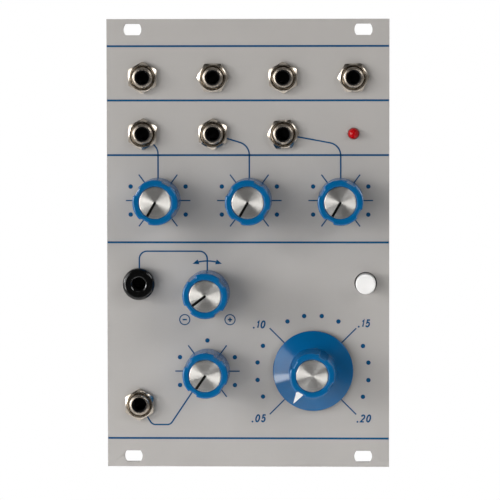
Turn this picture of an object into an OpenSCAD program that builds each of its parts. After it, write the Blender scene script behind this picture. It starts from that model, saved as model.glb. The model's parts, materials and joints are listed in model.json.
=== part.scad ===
// Rack delay module with nine jacks, six dials, one lamp and one push button.
// Units are millimetres. Every piece is drawn with the panel lying flat:
// X to the right, Y up the panel, Z out of the panel towards the player.
// The back of the panel is Z = 0. upright() then stands the piece in the shared
// frame, with the panel's height along +Z and its face towards -Y.

/* [Panel] */
// Width of the panel, sixteen units of 5.08 less the usual play
panel_w = 80.9; // [78:0.1:110]
// Height of the panel
panel_h = 128.5; // [126:0.1:133]
// Thickness of the panel
panel_t = 2; // [1.5:0.1:3]
// Rack slots from the left and right edges
slot_inset_x = 7.43; // [6:0.01:9]
// Rack slots from the top and bottom edges
slot_inset_y = 3; // [2.8:0.1:5]
// Length of a rack slot
slot_l = 5.1; // [4.5:0.1:7]
// Width of a rack slot between its flats
slot_w = 3.2; // [3:0.1:3.6]

/* [Layout] */
// Left dial of the row of three, from the left edge
mixer_left = 14.7; // [13:0.05:16]
// Right dial of the row of three, from the right edge
mixer_right = 13.9; // [13:0.05:16]
// Row of three dials, from the top edge
mixer_down = 51.9; // [50:0.05:53]
// Column of the two small dials below, from the left edge
lower_left = 28.75; // [27:0.05:30]
// Upper one of those two, from the bottom edge
control_up = 50.15; // [49:0.05:51]
// Lower one of those two, from the bottom edge
lower_up = 27.55; // [26:0.05:29]
// Big dial, from the right edge
time_right = 21.8; // [20:0.05:23]
// Big dial, from the bottom edge
time_up = 27.8; // [26:0.05:29]
// First column of jacks, from the left edge
jack_left = 10.35; // [9.5:0.05:11]
// Fourth column, of a jack and the lamp, from the right edge
jack_right = 10.25; // [9.5:0.05:11]
// Row of four jacks, from the top edge
out_down = 16.75; // [16:0.05:18]
// Row of three jacks, from the top edge
in_down = 32.9; // [32:0.05:34]
// Lamp, from the top edge
lamp_down = 32.75; // [31:0.05:34]
// Column of the two jacks at the lower left, from the left edge
side_left = 9.25; // [8.5:0.05:10]
// Jack with the black ring nut, from the bottom edge
side_control_up = 52.8; // [51:0.05:54]
// Lowest jack, from the bottom edge
side_mod_up = 17.95; // [17:0.05:20]
// Push button, from the right edge
button_right = 6.75; // [6.5:0.05:8]
// Push button, from the bottom edge
button_up = 52.9; // [51:0.05:54]

/* [Jacks] */
// Bore for the plug
jack_bore_d = 3.6; // [3.55:0.05:3.8]
// Thread of the jack's bushing
jack_thread_d = 6; // [5.8:0.1:6.4]
// How far the bushing stands out of the panel's face
jack_proud = 2.6; // [2.4:0.1:3.4]
// Width of the jack's housing
jack_w = 9; // [8.6:0.1:9.6]
// Height of the jack's housing
jack_h = 10.5; // [10:0.1:11]
// Size of the hex nut across its flats
jack_nut_af = 8; // [7.8:0.1:9]
// Thickness of the hex nut
jack_nut_t = 1.8; // [1.4:0.1:2.1]
// Diameter of the black ring nut
ring_nut_d = 9.15; // [8.8:0.05:10]
// Height of the black ring nut
ring_nut_h = 4; // [3.9:0.1:5]

/* [Dials] */
// Diameter of the dial's shaft
shaft_d = 6; // [5.6:0.1:6.2]
// Thread of the potentiometer's bushing
pot_thread_d = 7; // [6.9:0.1:7.4]
// Width of the potentiometer
pot_w = 9.6; // [9.4:0.1:10.4]
// Height of the potentiometer
pot_h = 11.4; // [10.6:0.1:12]
// Depth of the potentiometer from its front plate to the board
pot_depth = 7; // [6.6:0.1:8]
// Size of the potentiometer's nut across its flats
pot_nut_af = 9; // [8.6:0.1:9.4]
// Thickness of the potentiometer's nut
pot_nut_t = 2; // [1.5:0.1:2.4]
// Thickness of the washer
washer_t = 0.5; // [0.3:0.1:0.8]
// Top of a small knob above the panel's face
knob_top = 15.3; // [14:0.1:18]
// Top of the big knob above the panel's face
time_top = 17; // [15:0.1:19]
// Foot of a knob above the panel's face
knob_gap = 0.8; // [0.5:0.1:1.2]
// Diameter of a small knob at its foot
knob_foot_d = 13.1; // [12.6:0.1:15]
// Diameter of a knob's grip at its top
knob_grip_d = 12.9; // [12:0.1:13.4]
// Diameter of the metal disc on a knob
disc_d = 9; // [8:0.1:9.4]
// Thickness of the metal disc
disc_t = 1; // [0.6:0.1:1.4]
// Width of the flat flutes of a grip
flute_w = 2.6; // [1.5:0.1:3.2]
// Depth of the flutes at the top of a grip
flute_depth = 0.55; // [0.3:0.05:0.7]
// Diameter of the big knob's skirt
skirt_d = 23; // [20:0.1:26]
// Height of the big knob's skirt where the grip begins
skirt_h = 2.7; // [2.4:0.1:6]
// Width of the pointer on the skirt
pointer_w = 2.3; // [1.5:0.1:3.5]

/* [Pointers at rest] */
// Turn of the three upper dials from straight up, clockwise
mixer_turn = -150; // [-150:1:150]
// Turn of the control dial
control_turn = -127; // [-150:1:150]
// Turn of the modulation dial
modulation_turn = -145; // [-150:1:150]
// Turn of the big dial
time_turn = -149; // [-150:1:150]

/* [Button and lamp] */
// Diameter of the button
button_d = 5.7; // [5:0.1:6.5]
// How far the button stands out of the panel's face
button_proud = 5; // [4:0.1:7]
// How far the button goes in
button_travel = 2; // [1:0.1:2.2]
// Width of the switch behind the panel
switch_w = 7.4; // [7:0.1:8]
// Diameter of the lamp
lamp_d = 3.1; // [2.9:0.1:3.3]
// Straight part of the lamp in front of the panel's face
lamp_proud = 0.5; // [0.2:0.1:1.5]

/* [Boards] */
// Space between the panel and the first board
board_gap = 10; // [9.6:0.1:12]
// Both boards inside the left and right edges of the panel
board_inset_x = 1.95; // [1:0.05:2.5]
// Both boards inside the top and bottom edges of the panel
board_inset_y = 9.25; // [8.5:0.05:9.5]
// Thickness of a board
board_t = 1.6; // [1.2:0.1:2]
// Space between the boards
board_space = 11; // [10.5:0.1:14]
// Board pillars from the left and right edges of a board
pillar_inset_x = 18.5; // [18:0.1:19]
// Board pillars from the top and bottom edges of a board
pillar_inset_y = 4.5; // [4:0.1:5]
// How far a board screw goes into its pillar
screw_grip = 4; // [3:0.1:5]
// Height of the power connector on the back
shroud_h = 9; // [8.6:0.1:10]
// Length of the power connector
shroud_l = 20.3; // [18:0.1:24]
// Width of the power connector
shroud_w = 9.1; // [8.8:0.1:10]
// Length of a chip
chip_l = 19.2; // [19:0.1:20]
// Width of a chip
chip_w = 6.4; // [6:0.1:7.5]
// Thickness of a chip
chip_t = 3.3; // [3:0.1:4]
// Radius of a capacitor
cap_r = 3.15; // [2.5:0.05:3.5]
// Height of a capacitor
cap_h = 7; // [5:0.1:9]

/* [Fits] */
// Play around a shaft that turns
run_gap = 0.05; // [0.02:0.01:0.1]
// Play around pieces that are pushed together
seat_gap = 0.05; // [0.02:0.01:0.08]
// Play of a threaded bushing in the panel
panel_gap = 0.1; // [0.05:0.05:0.2]
// Play around the button and the plunger
slide_gap = 0.15; // [0.1:0.05:0.2]

/* [Hidden] */
$fn = 64;

eps = 0.5;
face = panel_t;
slot_end_r = slot_w / 2 + 0.14;
left = -panel_w / 2;
right = panel_w / 2;
top = panel_h / 2;
bottom = -panel_h / 2;

// Places of the jacks: four outputs, three inputs, then the two at the side
jack_x = left + jack_left;
jack_pitch = (right - jack_right - jack_x) / 3;
out_y = top - out_down;
in_y = top - in_down;
side_x = left + side_left;
out_at = [for (i = [0 : 3]) [jack_x + i * jack_pitch, out_y]];
in_at = [for (i = [0 : 2]) [jack_x + i * jack_pitch, in_y]];
side_control_at = [side_x, bottom + side_control_up];
side_mod_at = [side_x, bottom + side_mod_up];
jacks_at = concat(out_at, in_at, [side_control_at, side_mod_at]);
hex_at = concat(out_at, in_at, [side_mod_at]);
hex_turn = [30, 0, 32, 2, 28, 30, 4, 30];

// Places of the dials
mixer_x = left + mixer_left;
mixer_pitch = (right - mixer_right - mixer_x) / 2;
mixer_y = top - mixer_down;
lower_x = left + lower_left;
control_y = bottom + control_up;
lower_y = bottom + lower_up;
mixer_at = [for (i = [0 : 2]) [mixer_x + i * mixer_pitch, mixer_y]];
control_at = [lower_x, control_y];
modulation_at = [lower_x, lower_y];
time_at = [right - time_right, bottom + time_up];
dials_at = concat(mixer_at, [control_at, modulation_at, time_at]);

lamp_at = [jack_x + 3 * jack_pitch, top - lamp_down];
button_at = [right - button_right, bottom + button_up];

// Boards, seen from the panel
board_w = panel_w - 2 * board_inset_x;
board_h = panel_h - 2 * board_inset_y;
board_front = -board_gap;
board_back = board_front - board_t;
main_front = board_back - board_space;
main_back = main_front - board_t;
pin_reach = 1.2;
pin_end = board_back - pin_reach;
pin_hole_r = 0.62;

// Jack
jack_r = jack_thread_d / 2;
jack_bore_r = jack_bore_d / 2;
jack_tip = face + jack_proud;
jack_tail = 2;
jack_tail_r = jack_bore_r + 0.8;
jack_rear_wall = 0.8;
jack_low = -jack_h / 2 - 0.75;
channel_r = jack_bore_r + 0.4;
contact_t = 0.3;
tip_room = 2.3;
tip_y = -channel_r - tip_room;
tip_w = 1.8;
leaf_x = channel_r + 0.6;
leaf_w = 1.2;
sleeve_y = jack_tail_r + 0.15;
contact_top = -jack_tail - 1.2;

// Potentiometer
pot_thread_r = pot_thread_d / 2;
plate_t = 1;
plate_front = board_front + pot_depth;
plate_back = plate_front - plate_t;
pot_thread_top = face + washer_t + pot_nut_t + 0.5;
cavity_r = 4.25;
cavity_floor = board_front + 1.6;
rotor_r = cavity_r - 0.25;
rotor_front = plate_back - 0.25;
rotor_back = rotor_front - 1.8;
shaft_r = shaft_d / 2;
shaft_cover = 2.4;
shaft_top = face + knob_top - disc_t - shaft_cover;
flat_from = pot_thread_top + 0.2;
flat_y = shaft_r - 1.4;
pot_pin_y = -pot_h / 2 - 0.8;
pot_pin_w = 0.9;
pot_pin_t = 0.5;
pot_pin_pitch = 2.5;
pot_pin_lift = 2.5;

// Knob
knob_base = face + knob_gap;
knob_foot_r = knob_foot_d / 2;
grip_r = knob_grip_d / 2;
disc_r = disc_d / 2;
disc_sink = 0.15;
rim_r = 0.5;
rim_in_r = disc_r + 0.3;
pot_nut_r = hex_r(pot_nut_af);
recess_r = pot_nut_r + 0.3;
recess_top = pot_thread_top + 0.4;
flute_r = grip_r - flute_depth;
flute_foot_r = grip_r;
line_w = 0.75;
line_depth = 0.15;
skirt_r = skirt_d / 2;
skirt_edge = 1.1;
time_grip_r = grip_r + 0.25;
pointer_t = 0.25;
pointer_inset = 0.7;

// Button and its switch
button_r = button_d / 2;
button_hole_r = button_r + slide_gap + 0.2;
button_top = face + button_proud;
button_foot = -0.5;
switch_front = button_foot - button_travel - 0.6;
switch_wall = 1;
switch_room = switch_w - 2.2;
switch_floor = board_front + 0.8;
plunger_w = 3;
plunger_top = face + 1.5;
foot_front = switch_front - switch_wall - slide_gap;
foot_t = 0.9;
foot_w = switch_room - 2 * slide_gap - 0.5;
wire_r = 0.14;
coil_r = 1.5;
coil_turns = 4;
coil_low = switch_floor + wire_r + 0.02;
coil_high = foot_front - foot_t - wire_r - 0.02;
switch_pin = 0.5;
switch_pin_pitch = 2.5;
switch_pins_at = [for (x = [-1, 1], y = [-1, 0, 1]) [x, y] * switch_pin_pitch];

// Lamp
lamp_r = lamp_d / 2;
lamp_hole_r = lamp_r + panel_gap;
lamp_rim_r = lamp_r + 0.4;
lamp_rim_t = 1;
lamp_back = -0.05;
lead_x = 1.27;
lead_w = 0.5;

// Pillars and headers
pillar_af = 5.5;
pillar_bore_r = 1.55;
screw_r = 1.5;
screw_head_r = 2.7;
screw_head_h = 1.8;
screw_l = board_t + screw_grip;
pillars_at = [
    for (x = [-1, 1], y = [-1, 1])
    [x * (board_w / 2 - pillar_inset_x), y * (board_h / 2 - pillar_inset_y)]
];
pin_pitch = 2.54;
pin_w = 0.64;
pin_clear = 0.1;
pin_grip = 0.02;
pin_r = pin_w / sqrt(2) + 0.05;
header_n = 5;
header_l = header_n * pin_pitch;
header_w = 2 * pin_pitch;
plug_h = 2.5;
plug_back = board_back - plug_h;
plug_pin = 6;
headers_at = [[0, (in_y + mixer_y) / 2], [4, (control_y + lower_y) / 2]];

// Power connector and the loose parts on the rear board
power_up = 14;
power_at = [0, power_up - board_h / 2];
power_n = 5;
shroud_wall = 1.2;
shroud_floor = 2.5;
shroud_notch = 4.5;
power_pin = 6;
chip_lift = 0.6;
chip_leg = 0.4;
chip_rows = 8;
chip_pitch_x = 21;
chip_pitch_y = 24;
chip_row_up = 62;
chip_row_y = chip_row_up - board_h / 2;
chips_at = [
    for (row = [1, 0, -1], column = [-1, 0, 1])
    if (row >= 0 || column != 0) [column * chip_pitch_x, chip_row_y + row * chip_pitch_y]
];
cap_up = 18;
cap_inset = 7.5;
cap_pitch = 9;
caps_at = [
    for (side = [-1, 1], i = [0, 1])
    [side * (board_w / 2 - cap_inset - i * cap_pitch), cap_up - board_h / 2]
];

// Stand a piece that was drawn flat in the shared frame
module upright() {
    rotate([90, 0, 0]) children();
}

module at(p) {
    translate([p[0], p[1], 0]) children();
}

// Block centred on X and Y between two heights
module block(w, h, z0, z1) {
    translate([-w / 2, -h / 2, z0]) cube([w, h, z1 - z0]);
}

module round_bar(r, z0, z1) {
    translate([0, 0, z0]) cylinder(r = r, h = z1 - z0);
}

// Corner radius of a hexagon from its size across the flats
function hex_r(af) = af / 2 / cos(30);

module hex_bar(af, z0, z1) {
    translate([0, 0, z0]) cylinder(r = hex_r(af), h = z1 - z0, $fn = 6);
}

// Places of the square pins of a two-row connector around its middle
function pin_at(n) = [
    for (i = [0 : n - 1], j = [-0.5, 0.5]) [(i - (n - 1) / 2) * pin_pitch, j * pin_pitch]
];

// Front panel with its slots and holes
module slot_cut() {
    reach = slot_l / 2 - slot_end_r;
    intersection() {
        union() {
            translate([-reach, 0, 0]) round_bar(slot_end_r, -eps, face + eps);
            translate([reach, 0, 0]) round_bar(slot_end_r, -eps, face + eps);
            block(2 * reach, slot_w, -eps, face + eps);
        }
        block(slot_l + 1, slot_w, -2 * eps, face + 2 * eps);
    }
}

module front_panel() {
    color("Silver") difference() {
        block(panel_w, panel_h, 0, face);
        for (x = [-1, 1], y = [-1, 1])
            at([x * (right - slot_inset_x), y * (top - slot_inset_y)]) slot_cut();
        for (p = jacks_at)
            at(p) round_bar(jack_r + panel_gap, -eps, face + eps);
        for (p = dials_at)
            at(p) round_bar(pot_thread_r + panel_gap, -eps, face + eps);
        at(lamp_at) round_bar(lamp_hole_r, -eps, face + eps);
        at(button_at) round_bar(button_hole_r, -eps, face + eps);
    }
}

// Jack: a plastic housing on the board, with a channel for the plug and slots for its contacts
module jack_housing(p) {
    color("DimGray") at(p) difference() {
        translate([-jack_w / 2, jack_low, board_front]) cube([jack_w, jack_h, board_gap]);
        round_bar(channel_r, board_front + jack_rear_wall, eps);
        round_bar(jack_tail_r + seat_gap, -jack_tail, eps);
        translate([-tip_w / 2 - seat_gap, tip_y - seat_gap, board_front + jack_rear_wall])
            cube([tip_w + 2 * seat_gap, -tip_y, contact_top - board_front - jack_rear_wall + 0.3]);
        contact_legs(seat_gap, board_front - eps);
    }
}

// The straight legs of one jack's contacts, wider by some play where the housing is cut for them
module contact_legs(play, low) {
    translate([0, tip_y + contact_t / 2, 0])
        block(tip_w / 2 + 2 * play, contact_t + 2 * play, low, board_front + 2);
    translate([leaf_x, tip_y + leaf_w / 2, 0])
        block(contact_t + 2 * play, leaf_w + 2 * play, low, contact_top + play);
    translate([0, sleeve_y + contact_t / 2, 0])
        block(leaf_w + 2 * play, contact_t + 2 * play, low, -jack_tail + 1 + play);
}

module jack_contact() {
    contact_legs(0, pin_end);
    finger_l = 5.7;
    translate([-tip_w / 2, tip_y, board_front + jack_rear_wall + 0.1])
        cube([tip_w, contact_t, contact_top - board_front - jack_rear_wall - 0.1]);
    translate([-tip_w / 2, tip_y, contact_top - contact_t]) rotate([-59, 0, 0])
        cube([tip_w, finger_l, contact_t]);
}

module jack_contacts() {
    color("Goldenrod") for (p = jacks_at) at(p) jack_contact();
}

// Threaded metal mouth of a jack, with a rounded rim
module jack_bushing() {
    rotate_extrude() polygon([
        [jack_bore_r, -jack_tail],
        [jack_tail_r, -jack_tail],
        [jack_tail_r, 0],
        [jack_r, 0],
        [jack_r, jack_tip - 0.45],
        [jack_r - 0.12, jack_tip - 0.16],
        [jack_r - 0.4, jack_tip],
        [jack_bore_r + 0.45, jack_tip],
        [jack_bore_r + 0.14, jack_tip - 0.14],
        [jack_bore_r, jack_tip - 0.5]
    ]);
}

module jack_bushings() {
    color("Gainsboro") for (p = jacks_at) at(p) jack_bushing();
}

// Hex nut with its corners turned off and a countersunk mouth
module hex_nut() {
    nut_top = face + jack_nut_t;
    corner_r = hex_r(jack_nut_af);
    cone_h = jack_nut_t + eps;
    difference() {
        intersection() {
            hex_bar(jack_nut_af, face, nut_top);
            translate([0, 0, face - eps])
                cylinder(r1 = corner_r + cone_h, r2 = jack_nut_af / 2 - 0.35, h = cone_h);
        }
        round_bar(jack_r + seat_gap, face - eps, nut_top + eps);
        translate([0, 0, nut_top - 0.5]) cylinder(r1 = jack_r, r2 = jack_r + 1, h = 1);
    }
}

module jack_nuts() {
    color("Gainsboro") for (i = [0 : len(hex_at) - 1])
        at(hex_at[i]) rotate([0, 0, hex_turn[i]]) hex_nut();
}

// Black ring nut that covers the mouth of the control jack
module ring_nut() {
    r = ring_nut_d / 2;
    mouth_r = jack_bore_r + 0.45;
    ring_top = face + ring_nut_h;
    lip = jack_tip + 0.1;
    color("DarkSlateGray") at(side_control_at) rotate_extrude() polygon([
        [jack_r + seat_gap, face],
        [r - 0.2, face],
        [r, face + 0.2],
        [r, ring_top - 0.95],
        [r - 0.2, ring_top - 0.4],
        [r - 0.75, ring_top],
        [mouth_r + 0.6, ring_top],
        [mouth_r + 0.15, ring_top - 0.2],
        [mouth_r, ring_top - 0.6],
        [mouth_r, lip],
        [jack_r + seat_gap, lip]
    ]);
}

// Potentiometer: plastic box with room for the rotor, closed by the plate of its bushing
module pot_box(p) {
    color("DimGray") at(p) difference() {
        block(pot_w, pot_h, board_front, plate_back);
        round_bar(cavity_r, cavity_floor, plate_back + eps);
    }
}

module pot_bushings() {
    color("LightGray") for (p = dials_at) at(p) difference() {
        union() {
            block(pot_w, pot_h, plate_back, plate_front);
            round_bar(pot_thread_r, plate_back + plate_t / 2, pot_thread_top);
        }
        round_bar(shaft_r + run_gap, plate_back - eps, pot_thread_top + eps);
    }
}

module pot_washers() {
    color("Gainsboro") for (p = dials_at) at(p) difference() {
        round_bar(pot_nut_r, face, face + washer_t);
        round_bar(pot_thread_r + seat_gap, face - eps, face + washer_t + eps);
    }
}

module pot_nuts() {
    low = face + washer_t;
    color("Gainsboro") for (p = dials_at) at(p) difference() {
        hex_bar(pot_nut_af, low, low + pot_nut_t);
        round_bar(pot_thread_r + seat_gap, low - eps, low + pot_nut_t + eps);
    }
}

module pot_pins() {
    lift = board_front + pot_pin_lift;
    color("Silver") for (p = dials_at, i = [-1, 0, 1]) at(p) translate([i * pot_pin_pitch, 0, 0]) {
        translate([0, pot_pin_y, 0]) block(pot_pin_w, pot_pin_t, pin_end, lift + pot_pin_t);
        translate([-pot_pin_w / 2, pot_pin_y, lift])
            cube([pot_pin_w, -pot_h / 2 - pot_pin_y, pot_pin_t]);
    }
}

// Shaft and rotor of a dial, in one piece
module shaft(p, turn) {
    color("Silver") at(p) rotate([0, 0, -turn]) {
        difference() {
            round_bar(shaft_r, rotor_back, shaft_top);
            translate([-shaft_r - 1, flat_y, flat_from]) cube([2 * shaft_r + 2, shaft_r, shaft_top]);
        }
        round_bar(rotor_r, rotor_back, rotor_front);
        round_bar(1.2, cavity_floor + 0.2, rotor_back);
    }
}

// What every knob is cut for: nut, shaft with its flat, and flutes that lean in up the grip
module knob_cuts(grip_foot, h) {
    lean = atan((flute_foot_r - flute_r) / (h - grip_foot));
    round_bar(recess_r, face, recess_top);
    difference() {
        round_bar(shaft_r + seat_gap, face, shaft_top + 0.2);
        translate([-shaft_r - 1, flat_y + seat_gap, recess_top])
            cube([2 * shaft_r + 2, shaft_r, shaft_top]);
    }
    for (a = [0, 90, 180, 270]) rotate([0, 0, a])
        translate([-flute_w / 2, flute_foot_r, knob_base + grip_foot]) rotate([lean, 0, 0])
            cube([flute_w, grip_r, time_top + knob_top]);
}

// Outline of a grip's round rim and the seat for its disc, for a knob of height h
function grip_top(h) = concat(
    [for (a = [0:15:90]) [grip_r - rim_r + rim_r * cos(a), h - rim_r + rim_r * sin(a)]],
    [
        [rim_in_r, h],
        [disc_r + seat_gap, h - 0.25],
        [disc_r + seat_gap, h - disc_sink - disc_t],
        [0, h - disc_sink - disc_t]
    ]
);

module small_knob(p, turn) {
    h = knob_top - knob_gap;
    color("SteelBlue") at(p) rotate([0, 0, -turn]) difference() {
        translate([0, 0, knob_base]) rotate_extrude() polygon(concat(
            [[0, 0], [knob_foot_r - 0.3, 0], [knob_foot_r, 0.3]],
            grip_top(h)
        ));
        knob_cuts(0, h);
    }
}

// Skirt of the big knob: height of its cone at radius r above the knob's foot
function skirt_z(r) =
    skirt_edge + (skirt_h - skirt_edge) * (skirt_r - 0.3 - r) / (skirt_r - 0.3 - time_grip_r);

module time_knob() {
    h = time_top - knob_gap;
    color("SteelBlue") at(time_at) rotate([0, 0, -time_turn]) difference() {
        translate([0, 0, knob_base]) rotate_extrude() polygon(concat(
            [
                [0, 0],
                [skirt_r - 0.3, 0],
                [skirt_r, 0.25],
                [skirt_r, skirt_edge - 0.25],
                [skirt_r - 0.3, skirt_edge],
                [time_grip_r, skirt_h]
            ],
            grip_top(h)
        ));
        knob_cuts(skirt_h, h);
    }
}

// White pointer on the skirt, a triangle with its tip at the edge
module time_pointer() {
    r0 = time_grip_r + 0.5;
    r1 = skirt_r - pointer_inset;
    color("White") at(time_at) rotate([0, 0, -time_turn]) intersection() {
        translate([0, 0, knob_base]) linear_extrude(height = skirt_h + 2)
            polygon([[-pointer_w / 2, r0], [pointer_w / 2, r0], [0, r1]]);
        translate([0, 0, knob_base]) rotate_extrude() polygon([
            [r0 - 0.1, skirt_z(r0 - 0.1) + 0.01],
            [r1 + 0.1, skirt_z(r1 + 0.1) + 0.01],
            [r1 + 0.1, skirt_z(r1 + 0.1) + pointer_t],
            [r0 - 0.1, skirt_z(r0 - 0.1) + pointer_t]
        ]);
    }
}

// Turned metal disc in the top of a knob, with or without a line cut in it
module disc(p, turn, proud, lined) {
    high = face + proud - disc_sink;
    color("WhiteSmoke") at(p) rotate([0, 0, -turn]) difference() {
        translate([0, 0, high - disc_t]) rotate_extrude() polygon([
            [0, 0],
            [disc_r, 0],
            [disc_r, disc_t - 0.15],
            [disc_r - 0.15, disc_t],
            [0, disc_t]
        ]);
        if (lined)
            translate([-line_w / 2, 0, high - line_depth]) cube([line_w, disc_r + 1, 1]);
    }
}

// Push button: a cap pushed on the square plunger of a switch
module button_cap() {
    seat_w = plunger_w + 2 * seat_gap;
    color("White") at(button_at) difference() {
        rotate_extrude() polygon([
            [0, button_foot],
            [button_r - 0.1, button_foot],
            [button_r, button_foot + 0.1],
            [button_r, button_top - 0.45],
            [button_r - 0.06, button_top - 0.22],
            [button_r - 0.2, button_top - 0.06],
            [button_r - 0.45, button_top],
            [0, button_top]
        ]);
        block(seat_w, seat_w, button_foot - eps, plunger_top + seat_gap);
    }
}

module button_plunger() {
    color("Black") at(button_at) {
        block(plunger_w, plunger_w, foot_front - foot_t, plunger_top);
        block(foot_w, foot_w, foot_front - foot_t, foot_front);
    }
}

module switch_body() {
    hole = plunger_w + 2 * slide_gap;
    color("DimGray") at(button_at) difference() {
        block(switch_w, switch_w, board_front, switch_front);
        block(switch_room, switch_room, switch_floor, switch_front - switch_wall);
        block(hole, hole, switch_front - switch_wall - eps, switch_front + eps);
    }
}

// Return spring of the switch, one wound wire with a round section
coil_steps = 16;
coil_sides = 6;
coil_n = coil_turns * coil_steps;
coil_pitch = (coil_high - coil_low) / coil_turns;
function coil_mid(i) = [
    coil_r * cos(360 * i / coil_steps),
    coil_r * sin(360 * i / coil_steps),
    coil_low + coil_pitch * i / coil_steps
];
function coil_point(i, j) =
    let (a = 360 * i / coil_steps, b = -360 * j / coil_sides, r = coil_r + wire_r * cos(b))
    [r * cos(a), r * sin(a), coil_mid(i)[2] + wire_r * sin(b)];
coil_points = [for (i = [0 : coil_n], j = [0 : coil_sides - 1]) coil_point(i, j)];
coil_sidewalls = [
    for (i = [0 : coil_n - 1], j = [0 : coil_sides - 1], k = [0, 1])
    let (
        a = i * coil_sides + j,
        b = i * coil_sides + (j + 1) % coil_sides,
        c = a + coil_sides,
        d = b + coil_sides
    )
    k == 0 ? [a, b, d] : [a, d, c]
];
coil_ends = [
    [for (j = [0 : coil_sides - 1]) coil_sides - 1 - j],
    [for (j = [0 : coil_sides - 1]) coil_n * coil_sides + j]
];
coil_least = min([
    for (i = [0 : coil_n - coil_steps], k = [coil_steps - 2 : coil_steps + 2])
    if (i + k <= coil_n) norm(coil_mid(i) - coil_mid(i + k)) - 2 * wire_r
]);
echo(least_gap_between_turns_mm = coil_least);

module switch_spring() {
    color("Silver") at(button_at)
        polyhedron(points = coil_points, faces = concat(coil_sidewalls, coil_ends), convexity = 8);
}

module switch_pins() {
    color("Silver") for (p = switch_pins_at)
        at(button_at + p) block(switch_pin, switch_pin, pin_end, board_front);
}

// Lamp: a round-topped lens with a rim behind the panel, on two leads
module lamp_lens() {
    dome = face + lamp_proud;
    color("Red") at(lamp_at) {
        round_bar(lamp_rim_r, lamp_back - lamp_rim_t, lamp_back);
        round_bar(lamp_r, lamp_back - lamp_rim_t, dome);
        intersection() {
            translate([0, 0, dome]) sphere(r = lamp_r);
            round_bar(lamp_r + 1, dome - 0.4, dome + lamp_r + 1);
        }
    }
}

module lamp_leads() {
    color("Silver") for (x = [-lead_x, lead_x])
        at(lamp_at + [x, 0]) block(lead_w, lead_w, pin_end, lamp_back - lamp_rim_t);
}

// Two boards on pillars
module board(front) {
    difference() {
        block(board_w, board_h, front - board_t, front);
        for (p = pillars_at) at(p) round_bar(screw_r + seat_gap, front - board_t - eps, front + eps);
    }
}

module board_hole(p, r) {
    at(p) round_bar(r, board_back - eps, board_front + eps);
}

module control_board() {
    color("SeaGreen") difference() {
        board(board_front);
        for (p = jacks_at) {
            board_hole(p + [0, tip_y + contact_t / 2], pin_hole_r);
            board_hole(p + [leaf_x, tip_y + leaf_w / 2], leaf_w / 2 + 0.1);
            board_hole(p + [0, sleeve_y + contact_t / 2], leaf_w / 2 + 0.1);
        }
        for (p = dials_at, i = [-1, 0, 1]) board_hole(p + [i * pot_pin_pitch, pot_pin_y], pin_hole_r);
        for (p = switch_pins_at) board_hole(button_at + p, pin_hole_r);
        for (x = [-lead_x, lead_x]) board_hole(lamp_at + [x, 0], pin_hole_r);
        for (h = headers_at, p = pin_at(header_n)) board_hole(h + p, pin_r);
    }
}

module main_board() {
    color("SeaGreen") difference() {
        board(main_front);
        for (p = pin_at(power_n)) at(power_at + p) round_bar(pin_r, main_back - eps, main_front + eps);
    }
}

module board_pillars() {
    color("Goldenrod") for (p = pillars_at) at(p) difference() {
        hex_bar(pillar_af, main_front, board_back);
        round_bar(pillar_bore_r, main_front - eps, board_back + eps);
    }
}

// Screw with a slotted round head, its head on the face at height z and its shank going in
module screw(z, outward) {
    translate([0, 0, z]) mirror([0, 0, outward > 0 ? 0 : 1]) difference() {
        union() {
            round_bar(screw_r, -screw_l, 0.1);
            round_bar(screw_head_r, 0, screw_head_h);
        }
        block(2 * screw_head_r + 1, 0.8, screw_head_h - 0.8, screw_head_h + eps);
    }
}

module board_screws() {
    color("Silver") for (p = pillars_at) at(p) {
        screw(board_front, 1);
        screw(main_back, -1);
    }
}

// Plugs and sockets between the boards
module header_plugs() {
    grip = pin_w + 2 * pin_grip;
    for (h = headers_at) at(h) {
        color("Black") difference() {
            block(header_l, header_w, plug_back, board_back);
            for (p = pin_at(header_n)) at(p) block(grip, grip, plug_back - eps, board_back + eps);
        }
        color("Goldenrod") for (p = pin_at(header_n))
            at(p) block(pin_w, pin_w, plug_back - plug_pin, board_front + 0.6);
    }
}

module header_sockets() {
    hole = pin_w + 2 * pin_clear;
    color("Black") for (h = headers_at) at(h) difference() {
        block(header_l, header_w, main_front, plug_back);
        for (p = pin_at(header_n)) at(p) block(hole, hole, plug_back - plug_pin - 0.3, plug_back + eps);
    }
}

// Power connector on the back
module power_shroud() {
    high = main_back - shroud_h;
    color("Black") at(power_at) difference() {
        block(shroud_l, shroud_w, high, main_back);
        block(shroud_l - 2 * shroud_wall, shroud_w - 2 * shroud_wall, high - eps, main_back - shroud_floor);
        translate([0, -shroud_w / 2, 0])
            block(shroud_notch, 2 * shroud_wall + 0.4, high - eps, main_back - shroud_floor);
        for (p = pin_at(power_n)) at(p) round_bar(pin_r, main_back - shroud_floor - eps, main_back + eps);
    }
}

module power_pins() {
    color("Goldenrod") for (p = pin_at(power_n))
        at(power_at + p) block(pin_w, pin_w, main_back - shroud_floor - power_pin, main_front + pin_reach);
}

// Chips with two rows of legs, and round capacitors, on the back of the rear board
module chip() {
    low = main_back - chip_lift;
    block(chip_w, chip_l, low - chip_t, low);
    for (x = [-1, 1], i = [0 : chip_rows - 1])
        translate([x * (chip_w + chip_leg) / 2, (i - (chip_rows - 1) / 2) * pin_pitch, 0])
            block(chip_leg, 0.9, low - chip_t * 0.55, main_back);
}

module chips() {
    color("DarkSlateGray") for (p = chips_at) at(p) chip();
}

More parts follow.
